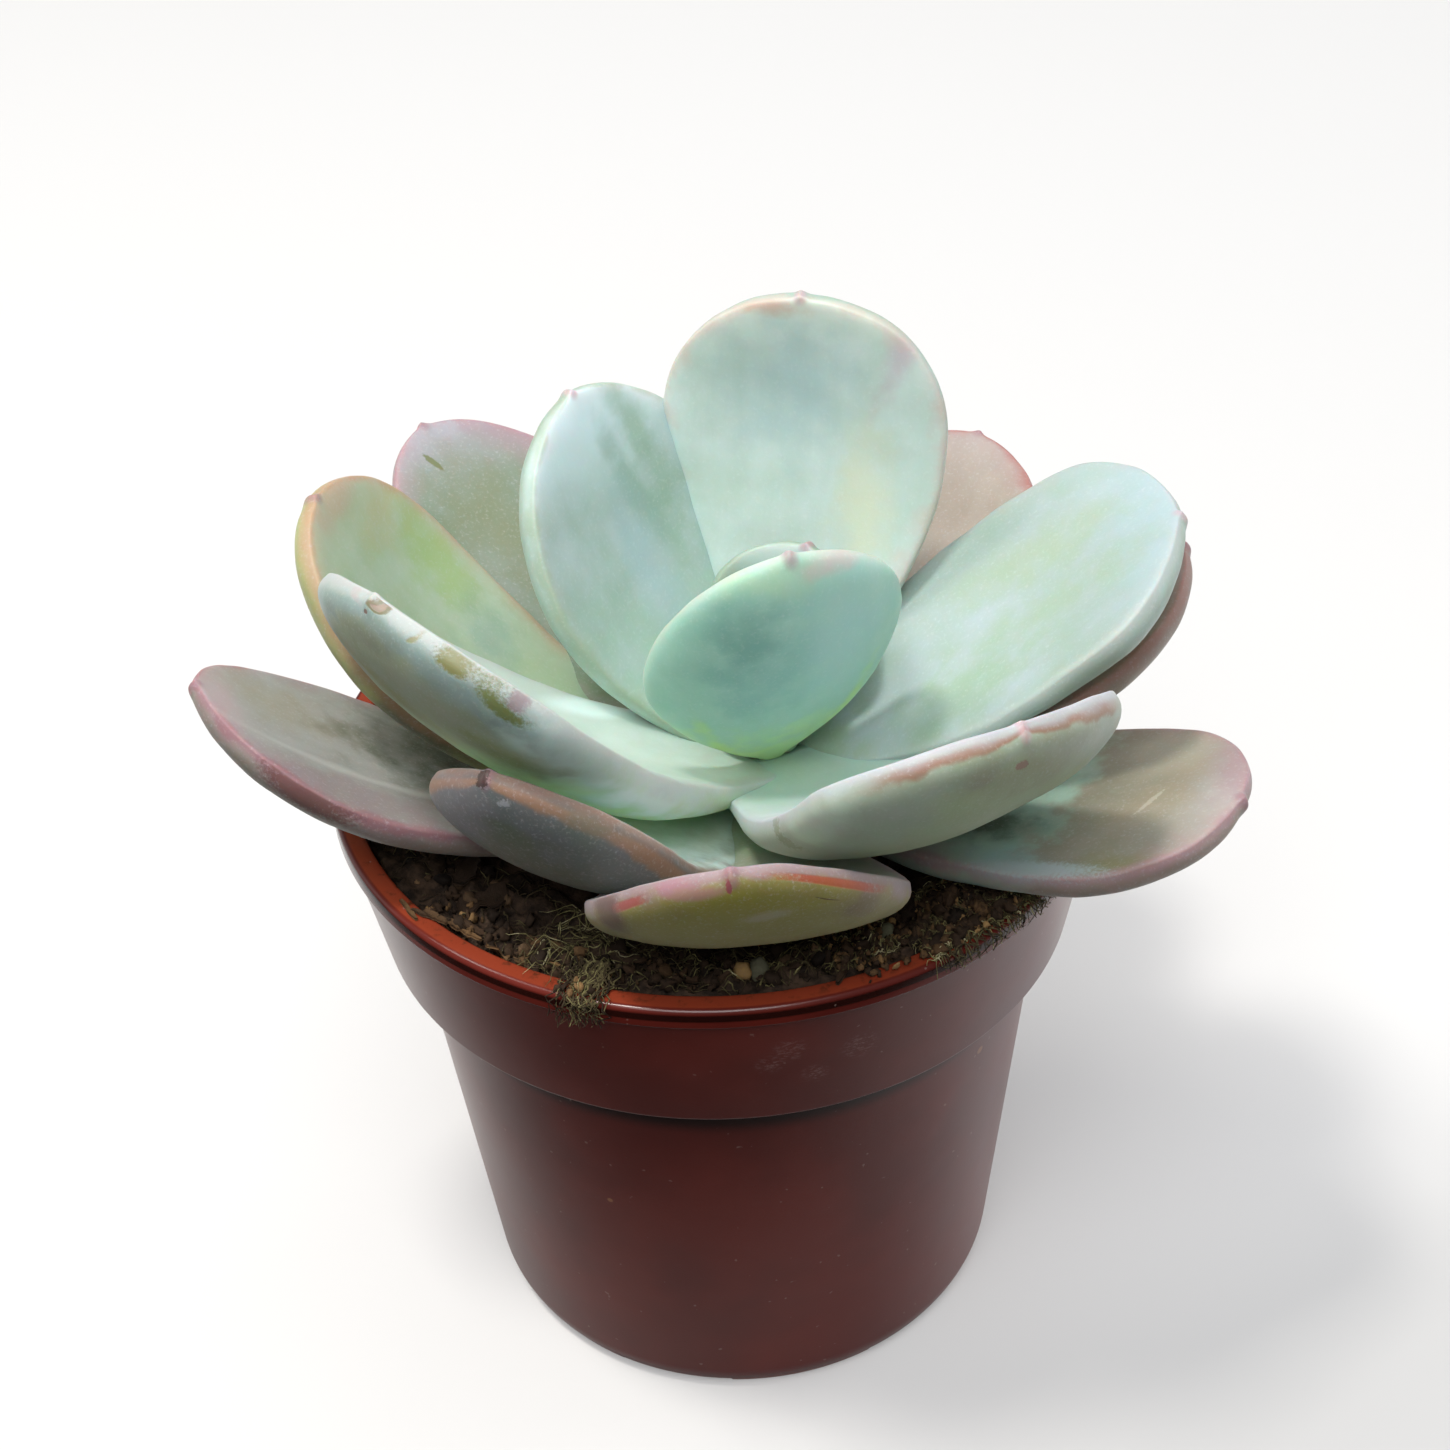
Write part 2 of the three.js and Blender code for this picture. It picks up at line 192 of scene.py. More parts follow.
# %% A socket that can be added and multiplied
class Value:
    def __init__(self, finish, socket):
        self.finish = finish
        self.socket = socket

    def math(self, operation, *others, clamp=False):
        settings = {"operation": operation, "use_clamp": clamp}
        inputs = dict(enumerate((self, *others)))
        return self.finish.node("ShaderNodeMath", settings, inputs)

    def __add__(self, other):
        return self.math("ADD", other)

    __radd__ = __add__

    def __sub__(self, other):
        return self.math("SUBTRACT", other)

    def __rsub__(self, other):
        return self.math("MULTIPLY_ADD", -1, other)

    def __mul__(self, other):
        return self.math("MULTIPLY", other)

    __rmul__ = __mul__

    def __truediv__(self, other):
        return self.math("DIVIDE", other)

    def __pow__(self, other):
        return self.math("POWER", other)

    def __abs__(self):
        return self.math("ABSOLUTE")

    def clamped(self):
        return self.math("ADD", 0, clamp=True)

    def most(self, other):
        return self.math("MAXIMUM", other)

    def step(self, low, high):
        """0 below low and 1 above high with a soft step between, or the other way round."""
        settings = {"interpolation_type": "SMOOTHSTEP", "clamp": True}
        inputs = {"Value": self, "From Min": low, "From Max": high}
        return self.finish.node("ShaderNodeMapRange", settings, inputs)


# %% A material under construction
def linear(colour):
    """A colour as written on a swatch card, such as 'b4dcc6', in the linear light that shaders use."""
    parts = [int(colour[i : i + 2], 16) / 255 for i in (0, 2, 4)]
    light = [p / 12.92 if p <= 0.04045 else ((p + 0.055) / 1.055) ** 2.4 for p in parts]
    return (*light, 1.0)


class Finish:
    def __init__(self, name, **uniform):
        """uniform holds what is the same all over the surface, by the shader's socket names."""
        self.material = bpy.data.materials.new(name)
        self.material.use_nodes = True
        self.tree = self.material.node_tree
        self.shader = self.tree.nodes["Principled BSDF"]
        for socket, value in uniform.items():
            self.shader.inputs[socket.replace("_", " ")].default_value = value

    def node(self, kind, settings=None, inputs=None, out=0):
        made = self.tree.nodes.new(kind)
        for key, value in (settings or {}).items():
            if key == "stops":
                self.set_stops(made.color_ramp, value)
            else:
                setattr(made, key, value)
        for key, value in (inputs or {}).items():
            self.feed(made.inputs[key], value)
        return Value(self, made.outputs[out])

    def set_stops(self, ramp, stops):
        """stops are (share, colour) pairs from left to right."""
        while len(ramp.elements) < len(stops):
            ramp.elements.new(1)
        for element, (share, colour) in zip(ramp.elements, stops):
            element.position = share
            element.color = linear(colour)

    def feed(self, socket, value):
        if isinstance(value, Value):
            self.tree.links.new(value.socket, socket)
        elif isinstance(value, str):
            socket.default_value = linear(value)
        else:
            socket.default_value = value

    def mix(self, share, low, high):
        """One colour where share is 0 and the other where it is 1."""
        settings = {"data_type": "RGBA", "clamp_factor": True}
        return self.node("ShaderNodeMix", settings, {0: share, 6: low, 7: high}, out=2)

    def noise(self, place, scale, detail=2, roughness=0.5):
        """Smooth random patches about 1 / scale of place's units across, from 0 to 1."""
        inputs = {"Vector": place, "Scale": scale, "Detail": detail, "Roughness": roughness}
        return self.node("ShaderNodeTexNoise", {"noise_dimensions": "3D"}, inputs)

    def place(self):
        """Where a point is, in millimetres."""
        at = self.node("ShaderNodeTexCoord", out="Object")
        settings = {"operation": "SCALE"}
        return self.node("ShaderNodeVectorMath", settings, {0: at, "Scale": 1 / MM})

    def vector(self, x, y, z):
        return self.node("ShaderNodeCombineXYZ", inputs={"X": x, "Y": y, "Z": z})

    def parts(self, vector):
        """The three numbers of a vector."""
        made = self.tree.nodes.new("ShaderNodeSeparateXYZ")
        self.feed(made.inputs[0], vector)
        return [Value(self, made.outputs[i]) for i in range(3)]

    def stored(self, name, vector=False):
        """A number or vector that the mesh keeps for each of its points."""
        settings = {"attribute_type": "GEOMETRY", "attribute_name": name}
        return self.node("ShaderNodeAttribute", settings, out="Vector" if vector else "Fac")

    def bump(self, height, depth):
        """Low relief. height runs from 0 to 1 and stands for depth millimetres."""
        inputs = {"Height": height, "Distance": depth * MM, "Strength": 1}
        return self.node("ShaderNodeBump", inputs=inputs)

    def done(self, colour, roughness, normal):
        self.feed(self.shader.inputs["Base Color"], colour)
        self.feed(self.shader.inputs["Roughness"], roughness)
        self.feed(self.shader.inputs["Normal"], normal)
        return self.material


print("shader classes ready: Value and Finish")

# %% [markdown]
# ## The studio
# The plant was photographed on white, under a light almost straight above it, so that the leaves
# glow and the pot's front stays dark. A plain pale floor, one smallish light overhead and several
# broad soft ones do the same.
# A white floor throws much light back up at a dark pot, and lies as a grey veil on its gloss.
# Photographers stop both with black card round the lens; here the floor is simply darker for the
# rays that light the plant, and darker still in front for those that the gloss mirrors, than for
# those that the camera sees. For the camera it also glows a little, like a light table, which keeps
# the plant's shadow pale.


# %% The floor
FLOOR_HALF = 2500
FLOOR_DROP = 0.05
FLOOR_SEEN = ("ececec", "fafafa")
FLOOR_GLOW = "d2d2d2"
GLOW_SHARE = 0.36
FLOOR_GIVEN = ("2c2c2c", "d8d8d8")
FLOOR_MIRRORED = ("141414", "f4f4f4")


def floor_material():
    """Pale to the camera. To the plant it is pale beside and behind the pot, and dark in front."""
    finish = Finish("floor")
    x, y, z = finish.parts(finish.place())
    radius = (x * x + y * y) ** 0.5
    beside = (y + 0.75 * abs(x) + 0.3 * x).step(-50, 60)
    given = finish.mix(beside.most(radius.step(110, 45) * 0.4), *FLOOR_GIVEN)
    behind = (y + 0.4 * x).step(-70, 32)
    mirrored = finish.mix(behind + radius.step(58, 40) * 0.1, *FLOOR_MIRRORED)
    gloss = finish.node("ShaderNodeLightPath", out="Is Glossy Ray")
    given = finish.node("ShaderNodeBsdfDiffuse", inputs={"Color": finish.mix(gloss, given, mirrored)})
    # Painted shadow: to the camera the floor is darker towards the front right, where the plant's shadow
    # falls
    seen = finish.mix((0.6 * x - y).step(30, 80), finish.mix(y.step(60, 500), *FLOOR_SEEN), "d4d4d4")
    seen = finish.node("ShaderNodeBsdfDiffuse", inputs={"Color": seen})
    glow = finish.node("ShaderNodeEmission", inputs={"Color": FLOOR_GLOW})
    seen = finish.node("ShaderNodeMixShader", inputs={0: GLOW_SHARE, 1: seen, 2: glow})
    ray = finish.node("ShaderNodeLightPath", out="Is Camera Ray")
    both = finish.node("ShaderNodeMixShader", inputs={0: ray, 1: given, 2: seen})
    finish.feed(finish.tree.nodes["Material Output"].inputs["Surface"], both)
    return finish.material


def make_floor():
    square = ((-1, -1), (1, -1), (1, 1), (-1, 1))
    corners = [(x * FLOOR_HALF, y * FLOOR_HALF, -FLOOR_DROP) for x, y in square]
    floor = make_mesh("floor", corners, [(0, 1, 2, 3)])
    floor.data.materials.append(floor_material())
    floor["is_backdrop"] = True


make_floor()
print("floor:", 2 * FLOOR_HALF, "mm square")

# %% The lights
WORLD_LIGHT = 0.2
STUDIO_MIDDLE = Vector((0, 0, 80))
LIGHTS = {
    # name: place in mm, width in mm, power in watts, colour
    "key": ((-190, -130, 840), 110, 3.7, "fffaf2"),
    "front_soft": ((-60, -460, 720), 400, 3.6, "ffffff"),
    "ceiling": ((60, 60, 900), 800, 2.9, "f4f8ff"),
    "back_left": ((-440, 180, 700), 240, 1.7, "fffaf2"),
    "left_panel": ((-820, 330, 260), 620, 0.8, "ffffff"),
    "right_panel": ((820, 330, 260), 620, 2.4, "ffffff"),
}


def make_light(name, place, width, power, colour):
    data = bpy.data.lights.new(name, "AREA")
    data.shape = "SQUARE"
    data.size = width * MM
    data.energy = power
    data.color = linear(colour)[:3]
    light = bpy.data.objects.new(name, data)
    bpy.context.scene.collection.objects.link(light)
    light.location = Vector(place) * MM
    light.rotation_mode = "QUATERNION"
    light.rotation_quaternion = (STUDIO_MIDDLE - Vector(place)).to_track_quat("-Z", "Y")
    light.visible_camera = False


for light_name, numbers in LIGHTS.items():
    make_light(light_name, *numbers)
world = bpy.data.worlds.new("studio")
world.use_nodes = True
world.node_tree.nodes["Background"].inputs["Color"].default_value = (1, 1, 1, 1)
world.node_tree.nodes["Background"].inputs["Strength"].default_value = WORLD_LIGHT
bpy.context.scene.world = world
bpy.context.scene.view_settings.view_transform = "Standard"
print("lights:", ", ".join(LIGHTS))

# %% [markdown]
# ## The leaves
# A leaf of this plant is a spoon: a midrib that leaves the stem, curls upwards and may twist, a
# width that swells and ends in a round tip with a tiny point, a cupped inner face and a bulging
# outer one. It could be sculpted, but nineteen leaves would take nineteen sculptures. The formula
# that made the solids is used again, with the same numbers and many more points, so every fine
# leaf lies where its solid lies. Soft noise then takes away the evenness of a formula.

# %% Where the leaves grow
STEM_X = 5
STEM_Y = -4
WHORLS = {
    # height on the stem, reach from its middle, thickness above and below the midrib
    "bud": {"height": 76.5, "reach": 2.3, "upper": 0.8, "lower": 3},
    "middle": {"height": 75, "reach": 3.2, "upper": 1.1, "lower": 4.2},
    "outer": {"height": 72.3, "reach": 4, "upper": 1.1, "lower": 4.2},
}
LEAF_HABIT = {"swing": 0, "roll": (0, 0), "widest": 0.62, "neck": 0.42}
LEAVES = {}


def grow(name, whorl, azimuth, rise, length, half_width, cup, **habit):
    """Angles are in degrees, and pairs run from base to tip."""
    numbers = {"whorl": whorl, "azimuth": azimuth, "rise": rise, "length": length}
    LEAVES["leaf_" + name] = {**LEAF_HABIT, **numbers, "half_width": half_width, "cup": cup, **habit}


grow("heart_back", "bud", 120, (78, 88), 8, 3.6, (50, 50))
grow("heart_left", "bud", 212, (74, 86), 11, 5, (50, 50))
grow("heart_right", "bud", 345, (70, 84), 14, 6, (50, 50))
grow("bud_back", "bud", 54, (64, 76), 20, 10, (55, 50))
grow("bud_front", "bud", 277, (51, 81), 39.5, 14.2, (30, 34), swing=6, roll=(12, 3), widest=0.54, neck=0.12)
grow("middle_back_left", "middle", 142, (45, 77), 42, 15.5, (17, 28), roll=(0, 1), widest=0.58, neck=0.34)
grow("middle_back", "middle", 70, (46, 100), 49, 15.5, (29, -8), roll=(-2, 5), widest=0.68, neck=0.28)
grow("middle_right", "middle", -1, (30, 39), 48.5, 15.6, (22, 17), roll=(22, -3), widest=0.78, neck=0.36)
grow("middle_left", "middle", 218, (17, 72), 59, 17.5, (50, 10), swing=-8, roll=(0, 11), widest=0.76)
grow(
    "middle_front_right", "middle", 295, (11, 64), 56, 17, (21, 20),
    swing=10, roll=(-4, -8), widest=0.77, neck=0.5,
)
grow("outer_left", "outer", 177, (7, 75), 57, 15.7, (18, 18), swing=-4, roll=(9, -5), widest=0.66, neck=0.34)
grow("outer_back_left", "outer", 134, (9, 38), 54, 14.3, (28, 22), roll=(0, 2), widest=0.6)
grow("outer_right", "outer", 7, (16, 40), 47, 14.5, (26, 19), roll=(0, 1))
grow("outer_back_right", "outer", 57, (8, 26), 48, 14, (28, 20), roll=(0, 1), widest=0.61)
grow("outer_front_left", "outer", 230, (0, 70), 48.5, 13.2, (12, 24), roll=(-14, 14), widest=0.63)
grow("low_front", "outer", 266, (-4, 64), 49, 15.9, (4, 8), swing=-4, roll=(0, 8), widest=0.63, neck=0.3)
grow("low_left", "outer", 193, (-5, 51), 61, 14.2, (8, 6), swing=-6, roll=(14, 8), widest=0.64)
grow("low_right", "outer", 332, (1, 27), 51, 14.3, (10, 6), roll=(-5, -2), widest=0.72)
grow("low_back", "outer", 96, (2, 20), 44, 12.5, (20, 14))
print(len(LEAVES), "leaves")

# %% The form of a leaf
MIDRIB_STEPS = 60
NECK_POWER = 1.3
TIP_ROUNDNESS = 0.55
MARGIN_POWER = 2.6
UPPER_POWER = 0.36
LOWER_POWER = 0.37
BASE_THICKNESS = 0.55
FULL_THICKNESS_AT = 0.35
POINT_LENGTH = 0.5
POINT_WIDTH = 0.6
RINGS_BELOW_WIDEST = 38
RINGS_ABOVE_WIDEST = 40
POINTS_ACROSS = 33


def midrib(leaf):
    """Points of the midrib, with the directions forward, across the leaf and into its cup."""
    along = np.arange(MIDRIB_STEPS + 1) / MIDRIB_STEPS
    rise = np.radians(blend(leaf["rise"], along))
    heading = np.radians(leaf["azimuth"] + leaf["swing"] * along)
    roll = np.radians(blend(leaf["roll"], along))[:, None]
    forward = np.stack([np.cos(rise) * np.cos(heading), np.cos(rise) * np.sin(heading), np.sin(rise)], 1)
    level = np.stack([-np.sin(heading), np.cos(heading), 0 * heading], 1)
    across = level * np.cos(roll) + np.cross(forward, level) * np.sin(roll)
    whorl = WHORLS[leaf["whorl"]]
    azimuth = math.radians(leaf["azimuth"])
    x = STEM_X + whorl["reach"] * math.cos(azimuth)
    y = STEM_Y + whorl["reach"] * math.sin(azimuth)
    grown = np.vstack([np.zeros(3), np.cumsum(forward[:-1], 0)])
    point = np.array([x, y, whorl["height"]]) + grown * leaf["length"] / MIDRIB_STEPS
    return along, point, forward, across, np.cross(forward, across)


def half_width_at(leaf, along):
    """A neck that swells to the widest place, then a rounded tip."""
    widest = leaf["widest"]
    swell = np.sin(np.pi / 2 * np.clip(along / widest, 0, 1)) ** NECK_POWER
    beyond = np.clip((along - widest) / (1 - widest), 0, 1)
    width = np.where(along < widest, blend((leaf["neck"], 1), swell), (1 - beyond**2) ** TIP_ROUNDNESS)
    return leaf["half_width"] * width, beyond


def leaf_form(leaf):
    """The leaf's points ring by ring, the place of each on the leaf, and its distance from the margin."""
    below = np.linspace(0, leaf["widest"], RINGS_BELOW_WIDEST, endpoint=False)
    turn = np.linspace(0, np.pi / 2, RINGS_ABOVE_WIDEST + 1)[:-1]
    along = np.concatenate([below, leaf["widest"] + (1 - leaf["widest"]) * np.sin(turn)])[:, None]
    steps, *lines = midrib(leaf)
    spread = [[np.interp(along[:, 0], steps, line[:, axis]) for axis in range(3)] for line in lines]
    point, forward, across, inner = (np.stack(line, 1)[:, None, :] for line in spread)
    width, beyond = half_width_at(leaf, along)
    fold = np.radians(blend(leaf["cup"], along)) / leaf["half_width"]
    fold = np.where(np.abs(fold) < 1e-6, 1e-6, fold)
    bulk = blend((BASE_THICKNESS, 1), soft_step(along, 0, FULL_THICKNESS_AT))
    around = 2 * POINTS_ACROSS - 2
    step = np.minimum(np.arange(around), around - np.arange(around))
    face = np.where(np.arange(around) < POINTS_ACROSS, 1, -1)[None, :]
    u = -np.cos(np.pi * step / (POINTS_ACROSS - 1))[None, :]
    full = np.clip(1 - np.abs(u) ** MARGIN_POWER, 0, 1) * (1 - beyond**2)
    whorl = WHORLS[leaf["whorl"]]
    above = whorl["upper"] * bulk * full**UPPER_POWER
    below = -whorl["lower"] * bulk * full**LOWER_POWER
    thickness = np.where(face > 0, above, below)
    bend = fold * width * u
    sideways = np.sin(bend) / fold - thickness * np.sin(bend)
    inwards = (1 - np.cos(bend)) / fold + thickness * np.cos(bend)
    points = point + across * sideways[:, :, None] + inner * inwards[:, :, None]
    length = np.broadcast_to(along * leaf["length"], sideways.shape)
    to_tip = leaf["length"] - length
    point_share = np.exp(-((sideways / POINT_WIDTH) ** 2)) * (1 - soft_step(to_tip, 0, 2.2 * POINT_LENGTH))
    points = points + forward * (POINT_LENGTH * point_share)[:, :, None]
    side = face * np.clip(1 - np.abs(u) ** MARGIN_POWER, 0, 1) ** UPPER_POWER * np.ones_like(sideways)
    tip = lines[0][-1] + lines[1][-1] * POINT_LENGTH
    base = lines[0][0] - lines[1][0] * 0.2
    places = np.stack([sideways, length, side], 2)
    return points, places, margin_distance(points), base, tip


def margin_distance(points):
    """How far each point is from the nearer margin, measured over the surface of its ring."""
    closed = np.concatenate([points, points[:, :1]], 1)
    steps = np.linalg.norm(np.diff(closed, axis=1), axis=2)
    reach = np.concatenate([np.zeros((len(points), 1)), np.cumsum(steps, 1)], 1)
    last = POINTS_ACROSS - 1
    inner_side, outer_side = reach[:, : last + 1], reach[:, last:] - reach[:, last : last + 1]
    sides = [np.minimum(side, side[:, -1:] - side) for side in (inner_side, outer_side)]
    distance = np.concatenate(sides, 1)
    return np.concatenate([distance[:, : last + 1], distance[:, last + 2 : -1]], 1)


print("rings on a leaf:", RINGS_BELOW_WIDEST + RINGS_ABOVE_WIDEST, "of", 2 * POINTS_ACROSS - 2, "points")

# %% Fine leaf meshes
UNEVEN = 0.35
UNEVEN_SPAN = 13
RIPPLE = 0.1
RIPPLE_SPAN = 3.6
# without a seed, noise_vector gives another plant each time that Blender starts
noise.seed_set(5)


def uneven(points, seed):
    """Pushes points a little, in slow swells and faint ripples, so that no surface is a plain formula."""
    shift = Vector((7.3 * seed, 3.1 * seed, 0))
    swell = [noise.noise_vector(Vector(p) / UNEVEN_SPAN + shift) for p in points]
    ripple = [noise.noise_vector(Vector(p) / RIPPLE_SPAN + shift) for p in points]
    return points + np.array(swell) * UNEVEN + np.array(ripple) * RIPPLE


def leaf_piece(name, seed):
    leaf = LEAVES[name]
    rings, places, edge, base, tip = leaf_form(leaf)
    count, around = rings.shape[:2]
    points = uneven(np.vstack([rings.reshape(-1, 3), base, tip]), seed)
    ends = [[0, 0, 0], [0, leaf["length"], 0]]
    values = {
        "leaf_place": np.vstack([places.reshape(-1, 3), ends]),
        "leaf_edge": np.concatenate([edge.ravel(), [0, 0]]),
    }
    return make_mesh(name + "_fine", points, skin_faces(count, around), values)


leaf_pieces = {name: leaf_piece(name, seed) for seed, name in enumerate(LEAVES)}
print("leaf faces:", sum(len(p.data.polygons) for p in leaf_pieces.values()))

# %% [markdown]
# ## The skin of a leaf
# The bloom is a white wax powder. It lies thick on young leaves, which look pale blue-green, and
# wears off old ones, which show mauve and tan flesh with orange or pink margins. A picture painted
# for each leaf would do it, but a picture has one size. Here each point of a leaf knows how far it
# lies across the leaf, along it, and from the margin, so bands, tips and scars are sums of those
# distances, and noise at several sizes breaks them up.

# %% The looks that leaves of one age share
YOUNG_LEAF = {
    # flesh under the bloom and bloom over it, for each face, and how much bloom there is
    "inner": ("90aa9c", "b4c8ca"), "outer": ("88a48c", "a6bcb6"), "bloom": 0.5,
    "base": "b4d49c", "base_reach": 10, "base_full": 0.2, "base_share": 0.5,
    "base_outer": 0,
    "tip": "c8dade", "tip_reach": 10, "tip_share": 0.6,
    # a line along the margin, a blush inside it, and a band a little way down the outer face
    "margin": "ccd6cc", "margin_width": 0.6, "margin_share": 0.45,
    "blush": "d0b0b0", "blush_width": 3, "blush_share": 0.08,
    "band": "b09a90", "band_reach": (0.9, 2.6), "band_from": 38, "band_share": 0,
    # what shows on the outer face far from the margin, and its painted glow, for light through the leaf
    "deep": "a0b87c", "deep_from": 6, "deep_share": 0.6, "glow": 0,
    "speck": "dfe9ea", "speck_share": 0.2,
    "point": "b8a0a8", "point_size": 0.2, "point_share": 0.6,
}
OLD_LEAF = {
    **YOUNG_LEAF,
    "inner": ("82846f", "a29c94"), "outer": ("746f5c", "8a867e"),
    "base": "84a078", "base_reach": 26, "base_share": 0.7,
    "tip": "b0a3a6", "tip_reach": 12, "tip_share": 0.6,
    "margin": "a87672", "margin_share": 0.7,
    "blush": "a48a86", "blush_width": 5, "blush_share": 0.5,
    "deep": "86824c", "deep_share": 0.7,
    "speck": "c8c8cc", "speck_share": 0.3,
    "point": "8c6c78", "point_size": 0.3,
}

# %% What is each leaf's own
LOOKS = {name: dict(OLD_LEAF if leaf["whorl"] == "outer" else YOUNG_LEAF) for name, leaf in LEAVES.items()}


def look(*names, **own):
    """Changes what some leaves show from what their age shows."""
    for name in names:
        LOOKS[name].update(own)


look(
    "leaf_heart_back", "leaf_heart_left", "leaf_heart_right", "leaf_bud_back",
    inner=("708c78", "84a090"), outer=("708c78", "84a090"), speck_share=0.1,
    margin="86a48c", margin_share=0.4, point="a07c8c", point_size=0.4,
)
look(
    "leaf_bud_front", outer=("86bcaa", "a2ccbc"), inner=("84a494", "98b4a8"), deep_share=0, glow=0.03,
    base="c4e890", base_reach=18, base_share=0.8,
    margin="bcc6b8", blush="d4b4b8", point="a07c8c", point_size=0.5,
)
look(
    "leaf_middle_back_left", inner=("8ca898", "aebfc0"), tip="dcf0f8", tip_share=0.9, tip_reach=16,
    margin="90a890", margin_share=0.6, base_reach=24, base="a4ccb0",
)
look(
    "leaf_middle_back", inner=("aac0b4", "c4d4d2"), tip="d6e6dc", tip_share=0.75,
    margin="b4aea2", blush_share=0.25,
)
look(
    "leaf_middle_right", inner=("90a898", "a6b4b8"), base="8ea87c", tip="acc2ce", tip_reach=15,
    margin="a8b8b4",
)
look(
    "leaf_middle_left", inner=("aab8b2", "becccc"), outer=("748a80", "90a4a4"), tip="aaa6b0", point_share=0,
    margin="b0bab8", margin_width=1.4, margin_share=0.7, deep="868e54", deep_from=5, glow=0.06,
    base="bce0a4", base_reach=52, base_full=0.62, base_share=0.9, base_outer=0.85,
)
look(
    "leaf_middle_front_right", inner=("b0b8bc", "c4c8d0"), outer=("94a68a", "a6b2a8"), tip="b0aeb2",
    margin="a8b2bc", margin_width=0.8, margin_share=0.6, deep="98b078", deep_from=7,
    band="8e6250", band_from=49, band_share=0.85, band_reach=(0.5, 2),
    base="a8ccb8", base_reach=34, base_share=0.7,
)
look(
    "leaf_outer_left", inner=("92ac80", "a8baa6"), outer=("94a05a", "a4a872"), base="98b0a4", tip="b4b49a",
    margin="a8886c", margin_width=1.0, blush="b0a68c", deep="b0bc60",
)
look(
    "leaf_outer_back_left", inner=("6a7c62", "848e84"), tip="b0aaba", tip_share=0.8,
    blush="a08c94", margin="a4808a",
)
look("leaf_outer_back_right", inner=("8c8174", "a2988e"), margin="9c5c58", margin_width=1.1, base_share=0.5)
look("leaf_outer_right", inner=("8c8276", "a29a90"), margin="9c766c")
# Painted light: this leaf's inner face is near white, in place of the light that falls on it
look(
    "leaf_outer_front_left", inner=("dcf4ec", "ecfafa"), outer=("525c58", "6a6a70"), deep="505c40",
    margin="8c6c5c", blush="6a5e5c", band="a06e44", band_from=0, band_share=0.5,
)
look(
    "leaf_low_front", outer=("7a7438", "8a844c"), deep="86822c", deep_from=3,
    margin="968890", margin_width=1, band="8c4c38", band_reach=(0.3, 0.9), band_from=36, band_share=0.6,
    blush="8c747c", blush_width=2.8, blush_share=0.45,
)
# Painted shade: the dark olive base of the inner face is the shade of the leaves above, over its own deep
# green
look(
    "leaf_low_left", inner=("7e8478", "9a9a9a"), base="3c4a20", base_reach=34, base_full=0.7, base_share=0.9,
    margin="885c66", blush="948088",
)
look(
    "leaf_low_right", inner=("7e7e68", "969084"),
    base="9cbcac", base_reach=35, base_full=0.8, base_share=0.85,
    margin="9c8088", tip="b8b0b4",
)
print("leaves with a look of their own age:", len(LOOKS))

# %% Patches, scars, rubbed places, and painted shade, light and reflection
INNER, OUTER = 1, -1
SOFT = {"soft": 0.9, "ragged": 0.9, "worn": 0, "share": 0.55}
STRONG = {**SOFT, "share": 0.85}
MARK_HABIT = {"lane": None, "share": 0.85, "soft": 0.2, "ragged": 1.2, "worn": 0.5}
